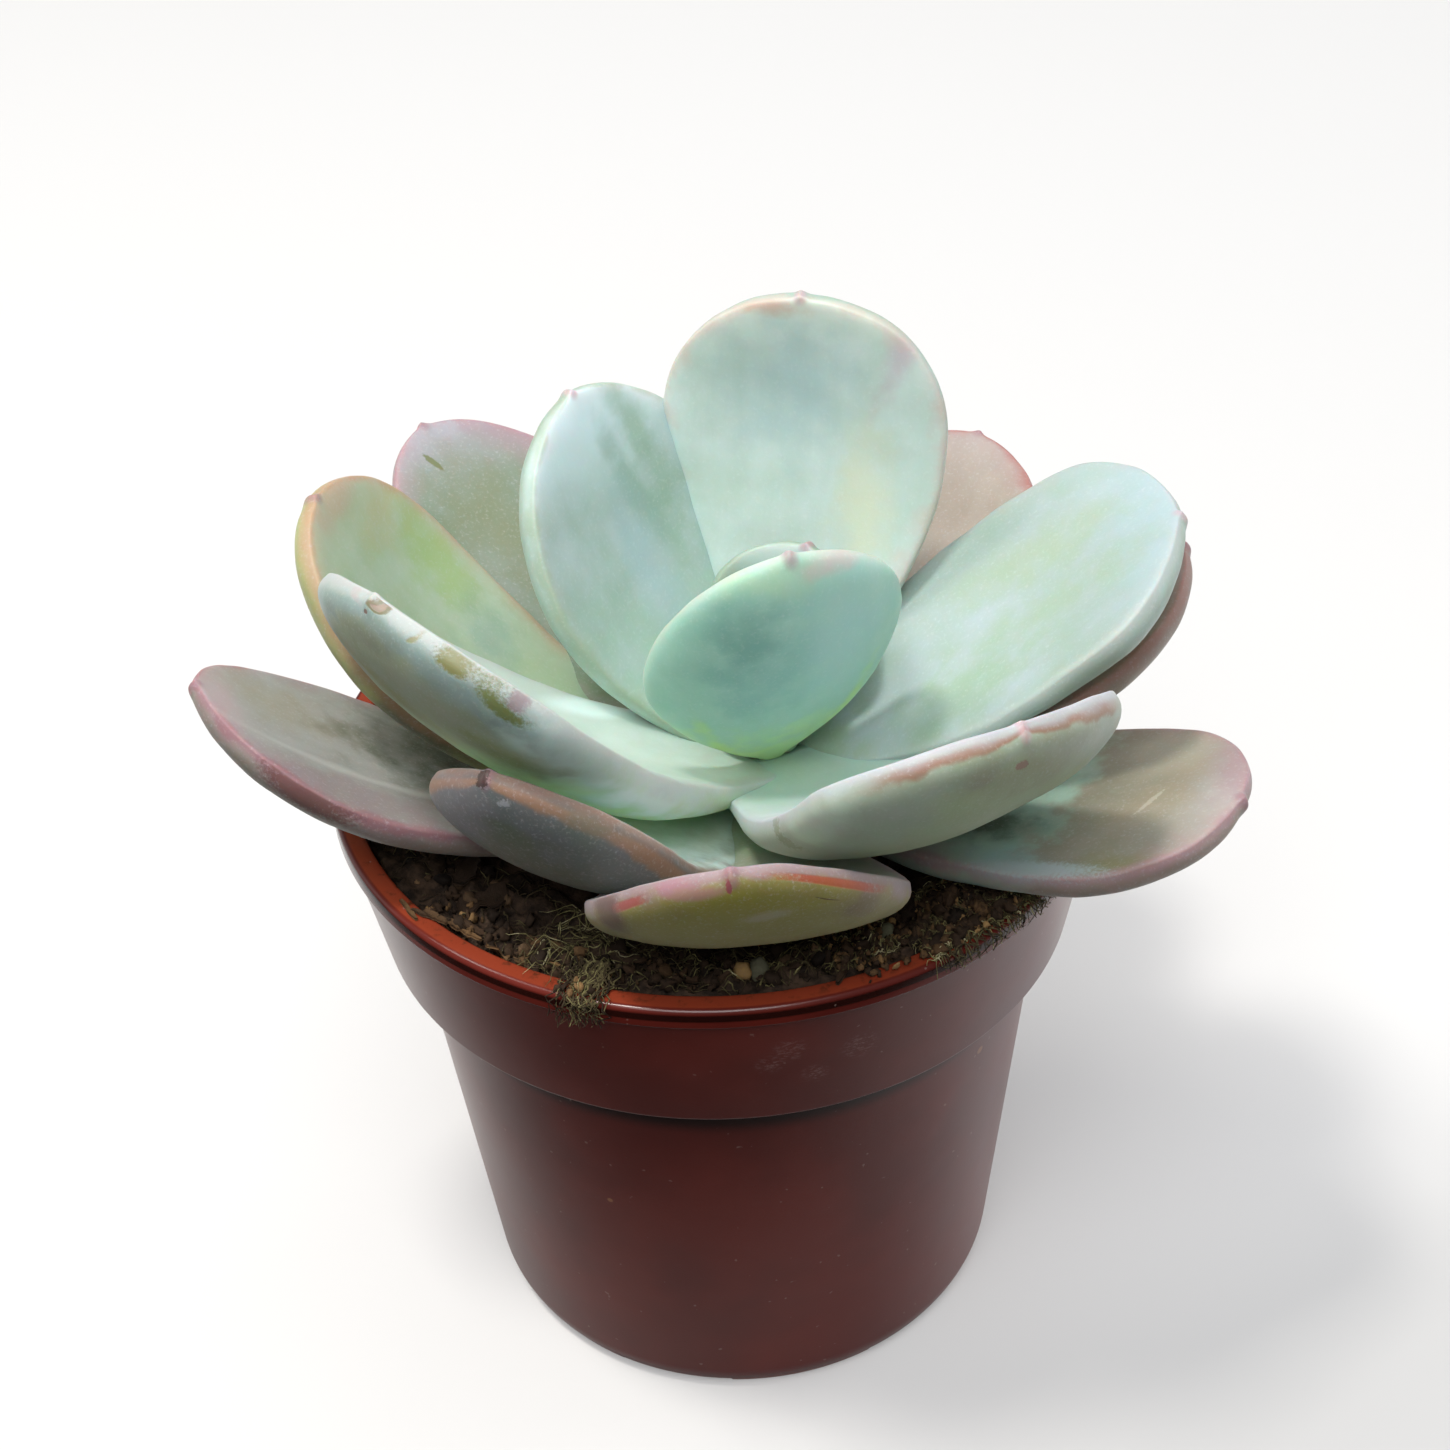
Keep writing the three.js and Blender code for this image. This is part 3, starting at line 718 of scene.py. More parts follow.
# face, place across and along the leaf, half length, half width, turn, colour, and how it differs from
# the habit. Places are in millimetres. A lane keeps a mark between two distances from the margin.
MARKS = {
    "leaf_bud_front": [
        (OUTER, -3.5, 25, 4, 6, 0, "74aaa4", SOFT),
        (OUTER, -4.5, 31.5, 2.2, 4, 0, "6c9e92", SOFT),
        (OUTER, 6, 28, 3.5, 8, 0, "a8d0cc", SOFT),
        (OUTER, -3, 37.6, 5, 1.3, 0, "b4d8b4", SOFT),
        (OUTER, 6.4, 10, 0.8, 9, -18, "b4dc6c", SOFT),
        (OUTER, -6.4, 9, 0.8, 8, 18, "b4dc6c", SOFT),
        (OUTER, 5.5, 38, 3.5, 1, 0, "c8a4ac", SOFT),
    ],
    "leaf_middle_back": [
        (INNER, 1, 38, 6, 6, 0, "a6c0c6", SOFT),
        (INNER, -6.6, 27, 2.5, 7, 0, "cfd2b4", SOFT),
        (INNER, 5, 48, 5, 0.8, 0, "c0a088", SOFT),
        (INNER, -11, 43, 1.2, 5, 25, "b8a4b2", SOFT),
    ],
    "leaf_middle_back_left": [
        (INNER, -6.4, 33, 1.5, 8, -8, "7c9e80", SOFT),
        (INNER, -3, 29, 1.2, 7, -8, "80a090", SOFT),
        (INNER, -0.3, 21, 2.5, 7, 0, "9cb6be", SOFT),
    ],
    "leaf_middle_right": [
        (INNER, -6.7, 20, 4, 7, 0, "8aa684", SOFT),
        (INNER, -3, 33, 3, 9, 0, "96ae92", SOFT),
        (INNER, 6, 33, 2.5, 8, 0, "9aae8c", SOFT),
    ],
    "leaf_middle_left": [
        (OUTER, 1.2, 58.85, 1.35, 0.15, 0, "6e6644", {"ragged": 0.5}),
        (OUTER, 1.2, 58.87, 0.8, 0.07, 0, "948478", {"ragged": 0.5}),
        (OUTER, 0.1, 58.45, 0.25, 0.12, 0, "6a5048", {}),
        (OUTER, -3, 58.7, 2, 0.12, 0, "b89098", {"soft": 0.5, "share": 0.25, "worn": 0}),
        (OUTER, 6, 57.7, 0.5, 0.15, 0, "8a8450", {"soft": 0.5, "share": 0.7}),
        (OUTER, 10.2, 55.8, 1.8, 0.34, -32, "70702c", {"ragged": 1.8, "soft": 0.45}),
        (OUTER, 14.3, 51.5, 3, 0.5, -58, "66702c", {"ragged": 1.6, "soft": 0.45}),
        (OUTER, 15.3, 51.2, 1.0, 0.22, -58, "8c6c76", {"soft": 0.5, "share": 0.6}),
        (OUTER, 6.6, 51.4, 2.5, 5, 50, "949e88", SOFT),
        # Partly the whitish bloom along the margin, partly painted light where this outer face turns from
        # the lamps
        (OUTER, 15.8, 39, 14, 2.6, 82, "c4e0dc", STRONG),
        (OUTER, 14.2, 25, 9, 2, 74, "ecfcfc", STRONG),
        # Painted reflection: an olive strip along the lower edge of the outer face
        (OUTER, -1.5, 49, 5, 2, -37, "7a8040", STRONG),
        (OUTER, 10.5, 44, 5, 2.2, -55, "6c7a40", STRONG),
        (OUTER, -0.5, 56.3, 4, 1.2, 0, "646c5c", SOFT),
        (INNER, -9, 15, 1.6, 6, 0, "e4fafa", {"soft": 0.5, "ragged": 0.3, "share": 0.6, "worn": 0}),
    ],
    "leaf_middle_front_right": [
        (OUTER, -15.5, 32.7, 1.3, 1, 0, "6f7a4c", {"share": 0.5, "ragged": 4, "worn": 0.1}),
        (OUTER, -0.3, 53.6, 0.7, 0.5, 0, "8c6058", {"share": 0.7}),
        (OUTER, -16, 41.5, 1.8, 4.5, 0, "c8e0d0", STRONG),
        (OUTER, -13, 41, 3, 4, 0, "9cbc98", SOFT),
        (OUTER, 1, 52.5, 7, 2.5, 0, "8a8470", SOFT),
    ],
    "leaf_outer_left": [
        (INNER, -10, 39, 3, 8, 10, "90ae5c", SOFT),
        # Painted shade: a dark strip in the gap between the leaves above and below
        (OUTER, 15, 34, 2.5, 7, 0, "2e3618", STRONG),
        (INNER, -7.6, 49, 4, 3, 0, "b2ae84", SOFT),
        (INNER, -6.8, 29.5, 3.5, 3.5, 0, "84a09c", SOFT),
        (INNER, -4, 55, 6, 1.5, 0, "b89c88", SOFT),
    ],
    "leaf_outer_back_left": [
        (INNER, 2.5, 49.4, 0.4, 1.4, -15, "6a7044", {"worn": 0.2}),
        (INNER, -8.2, 48.8, 5, 3, 25, "98808a", SOFT),
        (INNER, 1.2, 39, 4, 8, 0, "7c8064", SOFT),
    ],
    "leaf_outer_front_left": [
        (OUTER, -0.4, 48.3, 0.7, 0.4, 0, "3c2c28", {"ragged": 2}),
        (OUTER, 2, 47, 0.7, 0.3, 0, "a4a8b0", {"share": 0.5, "ragged": 3, "worn": 0}),
        (OUTER, -3, 45, 3, 3, 0, "767278", SOFT),
        (OUTER, 8.5, 41, 2.5, 5, 0, "5e6c60", SOFT),
    ],
    "leaf_low_front": [
        (OUTER, -12.8, 41, 1.8, 3, 0, "5c443c", {"soft": 0.5, "ragged": 0.6, "share": 0.8, "worn": 0}),
        (OUTER, -10, 44, 2, 2, 42, "9c4c4c", {"soft": 0.5, "lane": (0.9, 1.5)}),
        (OUTER, -4.5, 47.6, 4, 0.5, 12, "a87484", {"soft": 0.5, "share": 0.5, "worn": 0}),
        (OUTER, -0.4, 48.4, 0.3, 0.45, 0, "8c4450", {}),
        (OUTER, 9.2, 44.4, 5.6, 3, -40, "a0492e", {"soft": 0.5, "lane": (0.9, 1.5)}),
        (OUTER, 8.4, 44.1, 1.4, 0.07, -38, "4a2a2a", {"ragged": 0.3, "share": 0.7}),
        (OUTER, 12.5, 40.5, 2.5, 3, 0, "6c584e", SOFT),
        (OUTER, 2.8, 43.8, 2.2, 0.8, 0, "a8a098", {"ragged": 2.5, "soft": 0.5, "share": 0.4, "worn": 0}),
    ],
    "leaf_low_left": [
        (INNER, 9.5, 46, 3, 14, 0, "8c7880", SOFT),
        (INNER, 5.2, 45, 0.6, 13, 3, "b4b6b4", SOFT),
        (INNER, -4, 51, 4, 8, 0, "948f7c", SOFT),
        (OUTER, 11.9, 50.5, 0.8, 6, 20, "6a4644", {"soft": 0.5, "ragged": 2.2}),
        # Painted shade: a dark oval where the leaves above shade the inner face, over its own deep green
        (INNER, -4, 31, 5, 9, 0, "2a3616", STRONG),
        (INNER, 1, 58.5, 4, 2, 0, "b29aa0", SOFT),
    ],
    "leaf_low_right": [
        (INNER, 8, 40, 4, 6, 0, "b0a898", SOFT),
        # Painted shadow: a dark oval in the gap beneath the leaf above
        (INNER, -5.5, 25.5, 2.4, 4, 0, "2c381a", STRONG),
        (INNER, -11.5, 29, 2, 4, 0, "8cb4bc", SOFT),
        (INNER, 1, 42, 6, 2.5, 30, "948872", SOFT),
        (INNER, -12.3, 41, 1.6, 4, 0, "747a3c", SOFT),
        (INNER, -0.5, 41, 2.2, 0.3, 20, "c4c2b4", {"ragged": 3, "share": 0.4, "worn": 0}),
        (INNER, -13, 33, 1.2, 7, 0, "a8b8bc", {"soft": 0.5, "ragged": 2, "worn": 0}),
        (INNER, 5, 48.5, 7, 2, -20, "9c8088", SOFT),
    ],
}
print("marks:", sum(len(rows) for rows in MARKS.values()))


def marks_on(name, soft):
    """The marks of one leaf: the soft ones lie under the margin's colour, and the sharp ones over it."""
    for *place, colour, how in MARKS.get(name, []):
        how = {**MARK_HABIT, **how}
        if (how["soft"] > 0.5) == soft:
            yield place, colour, how


def mark_share(across, along, side, edge, noises, place, how):
    """1 inside an oval mark and 0 outside it, with a wavy edge."""
    face, middle, reach, long, wide, turn = place
    turn = math.radians(turn)
    right = across - middle
    ahead = along - reach
    u = (right * math.cos(turn) + ahead * math.sin(turn)) / long
    v = (ahead * math.cos(turn) - right * math.sin(turn)) / wide
    wavy = (noises["clouds" if how["soft"] > 0.5 else "grain"] - 0.5) * how["ragged"]
    inside = ((u * u + v * v) ** 0.5 + wavy).step(1 + how["soft"], 1 - how["soft"])
    inside = inside * (side * face).step(-0.35, 0.15)
    if how["lane"]:
        low, high = how["lane"]
        inside = inside * edge.step(low - 0.3, low) * edge.step(high + 0.3, high)
    return inside


# %% The leaf's material
def leaf_noises(finish, across, along, side):
    """Patches, clouds, streaks and grain: about 13, 4, 2 and 0.4 mm across."""
    at = finish.place()
    return {
        "patches": finish.noise(at, 0.075, detail=3).step(0.3, 0.7),
        "clouds": finish.noise(at, 0.27, detail=4).step(0.28, 0.72),
        "streaks": finish.noise(finish.vector(across * 0.4, along * 0.06, side), 1, detail=4).step(0.3, 0.7),
        "grain": finish.noise(at, 2.6, detail=4, roughness=0.65),
    }


def leaf_skin(name):
    finish = Finish(name + "_skin", Subsurface_Weight=0.4, Subsurface_Scale=0.0035, Sheen_Weight=0.08)
    finish.shader.inputs["Emission Strength"].default_value = 1
    look = LOOKS[name]
    across, along, side = finish.parts(finish.stored("leaf_place", vector=True))
    edge = finish.stored("leaf_edge")
    noises = leaf_noises(finish, across, along, side)
    patches, clouds, streaks, grain = noises.values()
    to_tip = LEAVES[name]["length"] - along
    bloom = (patches * 0.5 + clouds * 0.3 + streaks * 0.2 + (look["bloom"] - 0.5)).clamped()
    inner = finish.mix(bloom, *look["inner"])
    outer = finish.mix(bloom, *look["outer"])
    deep = (edge + 4 * clouds - 2).step(look["deep_from"], look["deep_from"] + 5)
    outer = finish.mix(deep * look["deep_share"], outer, look["deep"])
    skin = finish.mix(side.step(-0.25, 0.25), outer, inner)
    near_base = (along + 6 * clouds - 3).step(look["base_reach"], look["base_reach"] * look["base_full"])
    where = 1 - look["base_outer"] * side.step(-0.3, 0.3)
    skin = finish.mix(near_base * where * look["base_share"], skin, look["base"])
    near_tip = (to_tip + 4 * patches).step(look["tip_reach"], 0)
    skin = finish.mix(near_tip * look["tip_share"] * side.step(-0.6, 0.2), skin, look["tip"])
    blushing = (edge + 3 * clouds - 1).step(look["blush_width"], 0.3)
    skin = finish.mix(blushing * look["blush_share"], skin, look["blush"])
    low, high = look["band_reach"]
    band = edge.step(low - 0.4, low + 0.4) * (edge + clouds).step(high + 1, high) * side.step(0.1, -0.1)
    band = band * along.step(look["band_from"], look["band_from"] + 4)
    skin = finish.mix(band * look["band_share"], skin, look["band"])
    for place, colour, how in marks_on(name, soft=True):
        share = mark_share(across, along, side, edge, noises, place, how)
        skin = finish.mix(share * how["share"], skin, colour)
    rim = (edge + 0.8 * clouds - 0.4).step(look["margin_width"] * 2, 0)
    skin = finish.mix(rim * look["margin_share"], skin, look["margin"])
    to_point = (across * across + to_tip * to_tip) ** 0.5
    at_point = to_point.step(look["point_size"] + 0.7, 0.3)
    skin = finish.mix(at_point * look["point_share"], skin, look["point"])
    skin = finish.mix(grain.step(0.5, 0.8) * look["speck_share"], skin, look["speck"])
    worn = 0.0
    for place, colour, how in marks_on(name, soft=False):
        share = mark_share(across, along, side, edge, noises, place, how)
        skin = finish.mix(share * how["share"], skin, colour)
        worn = share * how["worn"] + worn
    roughness = 0.6 - 0.1 * clouds + 0.15 * (grain - 0.5) - 0.15 * worn
    relief = grain * 0.35 + streaks * 0.3 - worn
    # Painted glow: the outer face near the base gives off a little light of the base colour, as if lit
    # through
    through = deep * side.step(0, -0.3) * near_base * look["glow"]
    finish.feed(finish.shader.inputs["Emission Color"], finish.mix(through, "000000", look["base"]))
    return finish.done(skin, roughness, finish.bump(relief, 0.06))


# %% Dress the leaves
for leaf_name, piece in leaf_pieces.items():
    finish_piece(piece, leaf_skin(leaf_name), leaf_name)
print("dressed leaves:", len(leaf_pieces))

# %% [markdown]
# ## The stem
# The leaves hide the stem, which is pale and corky where old leaves have dropped, and green at its
# growing top. Its solid has the right form already, so the node stays and only gets its bark.


# %% The stem's bark
def stem_bark():
    finish = Finish("stem_bark", Specular_IOR_Level=0.2)
    at = finish.place()
    rings = finish.noise(at, 0.9, detail=4)
    height = finish.parts(at)[2]
    colour = finish.mix(rings.step(0.35, 0.65), "6f6a44", "a8a274")
    colour = finish.mix(height.step(70, 76), colour, "94b494")
    return finish.done(colour, 0.7 + 0.15 * rings, finish.bump(rings, 0.15))


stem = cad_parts["stem"]
stem.data.materials.clear()
stem.data.materials.append(stem_bark())
print("the stem keeps its solid")

# %% [markdown]
# ## The pot
# The pot is injection-moulded: a thin wall with a step, so that pots stack, and a thick rim, so
# that it can be lifted. A turned profile is the natural way to make it. The solid's corners are
# sharp; moulded ones have a small radius that catches the light, so each corner here is rounded.
# Holes and notches are cut last with one Boolean, as they are in the solid.

# %% The pot's profile
POT_HEIGHT = 72
RIM_RADIUS = 42.5
RIM_WIDTH = 2.6
RIM_BOTTOM = 69.6
COLLAR_TOP_RADIUS = 41.9
COLLAR_BOTTOM_RADIUS = 38.7
COLLAR_BOTTOM = 53
BODY_TOP_RADIUS = 35.7
FOOT_RADIUS = 29.5
FOOT_WIDTH = 2.4
FLOOR_HEIGHT = 1.6
PAD_RADIUS = 13
WALL = 0.8
POT_SIDES = 240
CORNER_STEPS = 5
DRAIN_HOLES = 8
DRAIN_RADIUS = 2.6
DRAIN_CIRCLE = 20
FOOT_NOTCHES = 6
NOTCH_WIDTH = 13.3
NOTCH_HEIGHT = 0.9
FIRST_NOTCH_AZIMUTH = 252


def pot_corners():
    """Radius, height and corner radius of each corner, from the middle of the underside to the inside."""
    inner_rim = RIM_RADIUS - RIM_WIDTH
    floor_top = FLOOR_HEIGHT + WALL
    foot_inner = FOOT_RADIUS - FOOT_WIDTH
    return [
        (PAD_RADIUS, 0, 0.3),
        (PAD_RADIUS + 1.5, FLOOR_HEIGHT, 0.4),
        (foot_inner - 1, FLOOR_HEIGHT, 0.3),
        (foot_inner, 0, 0.2),
        (FOOT_RADIUS - 1, 0, 0.4),
        (FOOT_RADIUS + 0.3, 2.2, 1.2),
        (BODY_TOP_RADIUS, COLLAR_BOTTOM, 0.25),
        (COLLAR_BOTTOM_RADIUS, COLLAR_BOTTOM, 0.5),
        (COLLAR_TOP_RADIUS, RIM_BOTTOM, 0.12),
        (RIM_RADIUS, RIM_BOTTOM, 0.25),
        (RIM_RADIUS, POT_HEIGHT, 0.75),
        (inner_rim, POT_HEIGHT, 0.6),
        (inner_rim, RIM_BOTTOM, 0.8),
        (COLLAR_BOTTOM_RADIUS - WALL, COLLAR_BOTTOM + WALL + 0.6, 0.5),
        (BODY_TOP_RADIUS - WALL, COLLAR_BOTTOM + WALL, 0.3),
        (FOOT_RADIUS - WALL, floor_top, 0.5),
        (PAD_RADIUS + 1, floor_top, 0.3),
        (PAD_RADIUS - 0.4, WALL, 0.3),
    ]


def rounded(corners):
    """The corners of an open profile, each replaced by a short curve. The ends stay as they are."""
    line = [corners[0][:2]]
    for before, corner, after in zip(corners, corners[1:], corners[2:]):
        middle = np.array(corner[:2], float)
        to_before = np.array(before[:2]) - middle
        to_after = np.array(after[:2]) - middle
        reach = min(corner[2], 0.45 * np.linalg.norm(to_before), 0.45 * np.linalg.norm(to_after))
        start = middle + to_before / np.linalg.norm(to_before) * reach
        end = middle + to_after / np.linalg.norm(to_after) * reach
        for i in range(CORNER_STEPS + 1):
            t = i / CORNER_STEPS
            line.append(tuple(start * (1 - t) ** 2 + middle * 2 * t * (1 - t) + end * t * t))
    return [*line, corners[-1][:2]]


print("corners of the pot's profile:", len(pot_corners()))


# %% Turn the profile and cut the holes
def turned(name, line, low_middle, high_middle):
    """A closed turned piece: a line of (radius, height), and the height of its two middle points."""
    azimuths = np.arange(POT_SIDES) / POT_SIDES * 2 * np.pi
    rings = [np.stack([r * np.cos(azimuths), r * np.sin(azimuths), 0 * azimuths + z], 1) for r, z in line]
    points = np.vstack([*rings, [0, 0, low_middle], [0, 0, high_middle]])
    return make_mesh(name, points, skin_faces(len(line), POT_SIDES, inside_out=True))


def pot_cutters():
    """One mesh that holds the cylinders and boxes to take away."""
    form = bmesh.new()
    for i in range(DRAIN_HOLES):
        azimuth = (i + 0.5) / DRAIN_HOLES * 2 * math.pi
        place = Matrix.Rotation(azimuth, 4, "Z") @ Matrix.Translation((DRAIN_CIRCLE * MM, 0, 2 * MM))
        sizes = {"radius1": DRAIN_RADIUS * MM, "radius2": DRAIN_RADIUS * MM, "depth": 6 * MM}
        bmesh.ops.create_cone(form, cap_ends=True, segments=32, matrix=place, **sizes)
    for i in range(FOOT_NOTCHES):
        azimuth = math.radians(FIRST_NOTCH_AZIMUTH) + i / FOOT_NOTCHES * 2 * math.pi
        size = Matrix.Diagonal((3 * FOOT_WIDTH * MM, NOTCH_WIDTH * MM, 2 * NOTCH_HEIGHT * MM, 1))
        place = Matrix.Rotation(azimuth, 4, "Z") @ Matrix.Translation((FOOT_RADIUS * MM, 0, 0)) @ size
        bmesh.ops.create_cube(form, size=1, matrix=place)
    mesh = bpy.data.meshes.new("cutters")
    form.to_mesh(mesh)
    form.free()
    cutters = bpy.data.objects.new("cutters", mesh)
    bpy.context.scene.collection.objects.link(cutters)
    return cutters


def cut(thing, cutters):
    """Takes the cutters away from the thing and removes them."""
    modifier = thing.modifiers.new("cut", "BOOLEAN")
    modifier.operation = "DIFFERENCE"
    modifier.solver = "EXACT"
    modifier.object = cutters
    view = bpy.context.evaluated_depsgraph_get()
    whole = thing.data
    thing.data = bpy.data.meshes.new_from_object(thing.evaluated_get(view))
    thing.modifiers.clear()
    bpy.data.meshes.remove(whole)
    bpy.data.objects.remove(cutters)
    thing.data.polygons.foreach_set("use_smooth", [True] * len(thing.data.polygons))


pot = turned("pot_fine", rounded(pot_corners()), 0, WALL)
cut(pot, pot_cutters())
pot.data.set_sharp_from_angle(angle=math.radians(50))
print("pot faces:", len(pot.data.polygons))

# %% [markdown]
# ## The pot's plastic
# The plastic is a dark brick red with a low gloss. The rim's top and the inside are painted orange as
# painted light, for light that shines through the thin plastic, palest at the left. Handling leaves it
# with pale scuffs, specks of dust and soil on the rim.

# %% The plastic
SCUFFS = [
    # place in mm, radius in mm
    ((5.6, -40.5, 64.4), 2.0),
    ((3.5, -40.3, 62.3), 1.6),
    ((12.8, -38.5, 62.6), 2.2),
    ((8.1, -39.2, 59.7), 1.6),
    ((-7.4, -41.3, 70.1), 0.4),
]
CHIPS = [
    ((-14.5, -30.1, 33.0), 0.35),
    ((26.7, -22.3, 45.3), 0.5),
]


def away_from(finish, at, middle):
    """How far a point is from a middle, in millimetres."""
    return finish.node("ShaderNodeVectorMath", {"operation": "DISTANCE"}, {0: at, 1: middle}, out="Value")


def pot_plastic():
    finish = Finish("pot_plastic", Specular_IOR_Level=0.38)
    at = finish.place()
    x, y, z = finish.parts(at)
    radius = (x * x + y * y) ** 0.5
    flare = COLLAR_TOP_RADIUS - COLLAR_BOTTOM_RADIUS
    collar = COLLAR_BOTTOM_RADIUS + (z - COLLAR_BOTTOM) * flare / (RIM_BOTTOM - COLLAR_BOTTOM)
    body = FOOT_RADIUS + z * (BODY_TOP_RADIUS - FOOT_RADIUS) / COLLAR_BOTTOM
    upper = z.step(COLLAR_BOTTOM - 0.1, COLLAR_BOTTOM)
    inside = (collar * upper + body * (1 - upper) - radius).step(0.3, 0.6)
    rim = z.step(RIM_BOTTOM - 0.2, RIM_BOTTOM)
    top = z.step(POT_HEIGHT - 0.7, POT_HEIGHT - 0.3) * radius.step(42.1, 41.5)
    # Painted light: the rim's top and the inside are painted orange as if lit through; shaded darkens it
    # away from the left
    painted_lit_through = inside.most(top)
    # Painted shade: a near-black line just under the rim's top edge for a groove's shadow, and a band below
    # the collar's step
    painted_groove_shade = radius.step(COLLAR_TOP_RADIUS + 0.1, RIM_RADIUS) * abs(z - (POT_HEIGHT - 1)).step(0.6, 0.3)
    painted_collar_shade = z.step(COLLAR_BOTTOM + 0.2, COLLAR_BOTTOM - 0.1) * z.step(COLLAR_BOTTOM - 6, COLLAR_BOTTOM - 3.6)
    shaded = (x + 0.4 * y).step(-52, -38)
    patches = finish.noise(at, 0.05, detail=3)
    grain = finish.noise(at, 3.5, detail=2)
    dust = finish.noise(at, 1.1, detail=1).step(0.75, 0.79)
    plastic = finish.mix(patches.step(0.35, 0.65), "581d17", "68241c")
    plastic = finish.mix(painted_lit_through, plastic, finish.mix(shaded, "a0442a", "843622"))
    plastic = finish.mix(painted_groove_shade.most(painted_collar_shade) * 0.9, plastic, "1c0906")
    plastic = finish.mix(dust * 0.3, plastic, "a58f86")
    soiled = finish.noise(at, 0.6, detail=5, roughness=0.7)
    dirty = soiled.step(0.52, 0.66) * z.step(POT_HEIGHT - 0.8, POT_HEIGHT - 0.2) * radius.step(42.4, 40.4)
    plastic = finish.mix(dirty * 0.7, plastic, "3a2517")
    scratches = finish.noise(finish.vector(x * 1.2, y * 1.2, z * 3), 1.3, detail=4, roughness=0.75)
    scuffed = 0.0
    for middle, size in SCUFFS:
        near = away_from(finish, at, middle).step(size * 1.2, size * 0.3)
        scuffed = near * scratches.step(0.5, 0.6) + scuffed
    plastic = finish.mix(scuffed * 0.35, plastic, "a88d88")
    for middle, size in CHIPS:
        near = away_from(finish, at, middle).step(size * 1.2, size * 0.7)
        plastic = finish.mix(near, plastic, "8a5a3c")
    roughness = 0.26 + 0.08 * patches + 0.2 * scuffed - 0.06 * rim
    relief = patches + grain * 0.05
    return finish.done(plastic, roughness, finish.bump(relief, 0.1))


finish_piece(pot, pot_plastic(), "pot")
print("the pot is finished")

# %% [markdown]
# ## The soil
# Peat and bark in a small pot dry to a dark, crumbly ball. Its surface follows the solid's formula:
# a dip round the plant and a climb to the rim. Fine noise roughens it, and where a leaf presses in,
# a ray sent up from below finds the leaf and the soil gives way.

# %% The soil's surface
SOIL_MIDDLE = 65.6
SOIL_EDGE = 70
DIP_RADIUS = 17
CLIMB_RADIUS = 34
HEAP_AZIMUTH = 304
HEAP_HEIGHT = 1.6
SOIL_RADIUS = RIM_RADIUS - RIM_WIDTH - 0.5
LUMPS = 0.5
SOIL_RINGS = 84
SOIL_SIDES = 264
RELIEF_COARSE = 1.5
RELIEF_FINE = 0.6
CLEARANCE = 0.3


def soil_height(x, y):
    climb = soft_step(np.hypot(x - STEM_X, y - STEM_Y), DIP_RADIUS, CLIMB_RADIUS)
    wide = np.sin(0.61 * x + 0.23 * y) * np.cos(0.47 * y - 0.2 * x)
    small = np.sin(1.13 * x - 0.7 * y + 1) + np.sin(1.7 * y + 0.9 * x + 2)
    lumps = LUMPS * (wide + 0.6 * small) * (0.5 + 0.5 * climb)
    away = np.arctan2(y, x) - math.radians(HEAP_AZIMUTH)
    heap = (0.5 + 0.5 * np.cos(away)) ** 5 * soft_step(np.hypot(x, y), 24, 37)
    return blend((SOIL_MIDDLE, SOIL_EDGE), climb) + lumps + HEAP_HEIGHT * heap


def tree_of(pieces):
    """The faces of several pieces in one search tree, in millimetres."""
    points, faces = [], []
    for thing in pieces:
        first = len(points)
        points += [v.co / MM for v in thing.data.vertices]
        faces += [[first + v for v in face.vertices] for face in thing.data.polygons]
    return BVHTree.FromPolygons(points, faces)


leaf_tree = tree_of(leaf_pieces.values())
UP = Vector((0, 0, 1))


def ceiling(x, y, low):
    """The height of the first leaf above a place, or a great height."""
    hit = leaf_tree.ray_cast(Vector((x, y, low)), UP)[0]
    return hit.z if hit else 1000.0


def soil_relief(x, y):
    """Crumbly relief in millimetres. Ridged noise makes lumps with creases between them."""
    coarse = abs(noise.noise(Vector((x, y, 3)) / 3.1))
    fine = noise.fractal(Vector((x, y, 9)) / 1.3, 0.9, 2.1, 4)
    return RELIEF_COARSE * (0.35 - coarse) + RELIEF_FINE * fine


def soil_at(x, y):
    """The finished height of the soil at one place."""
    height = float(soil_height(np.float64(x), np.float64(y))) + soil_relief(x, y)
    return min(height, ceiling(x, y, SOIL_MIDDLE - 6) - CLEARANCE)


def soil_piece():
    azimuths = np.arange(SOIL_SIDES) / SOIL_SIDES * 2 * math.pi
    points = []
    for i in range(SOIL_RINGS):
        radius = SOIL_RADIUS * (1 - i / SOIL_RINGS)
        ring = [(radius * math.cos(a), radius * math.sin(a)) for a in azimuths]
        points += [(x, y, soil_at(x, y)) for x, y in ring]
    below = [
        (COLLAR_BOTTOM_RADIUS - WALL - CLEARANCE, COLLAR_BOTTOM + WALL + 2),
        (BODY_TOP_RADIUS - WALL - CLEARANCE, COLLAR_BOTTOM + WALL + CLEARANCE),
        (FOOT_RADIUS - WALL - CLEARANCE, FLOOR_HEIGHT + WALL + CLEARANCE),
    ]
    rings = [[(r * math.cos(a), r * math.sin(a), z) for a in azimuths] for r, z in reversed(below)]
    points = [*sum(rings, []), *points]
    count = len(points) // SOIL_SIDES
    points += [(0, 0, FLOOR_HEIGHT + WALL + CLEARANCE), (0, 0, soil_at(0, 0))]
    return make_mesh("soil_fine", points, skin_faces(count, SOIL_SIDES, inside_out=True))


soil = soil_piece()
print("soil faces:", len(soil.data.polygons))


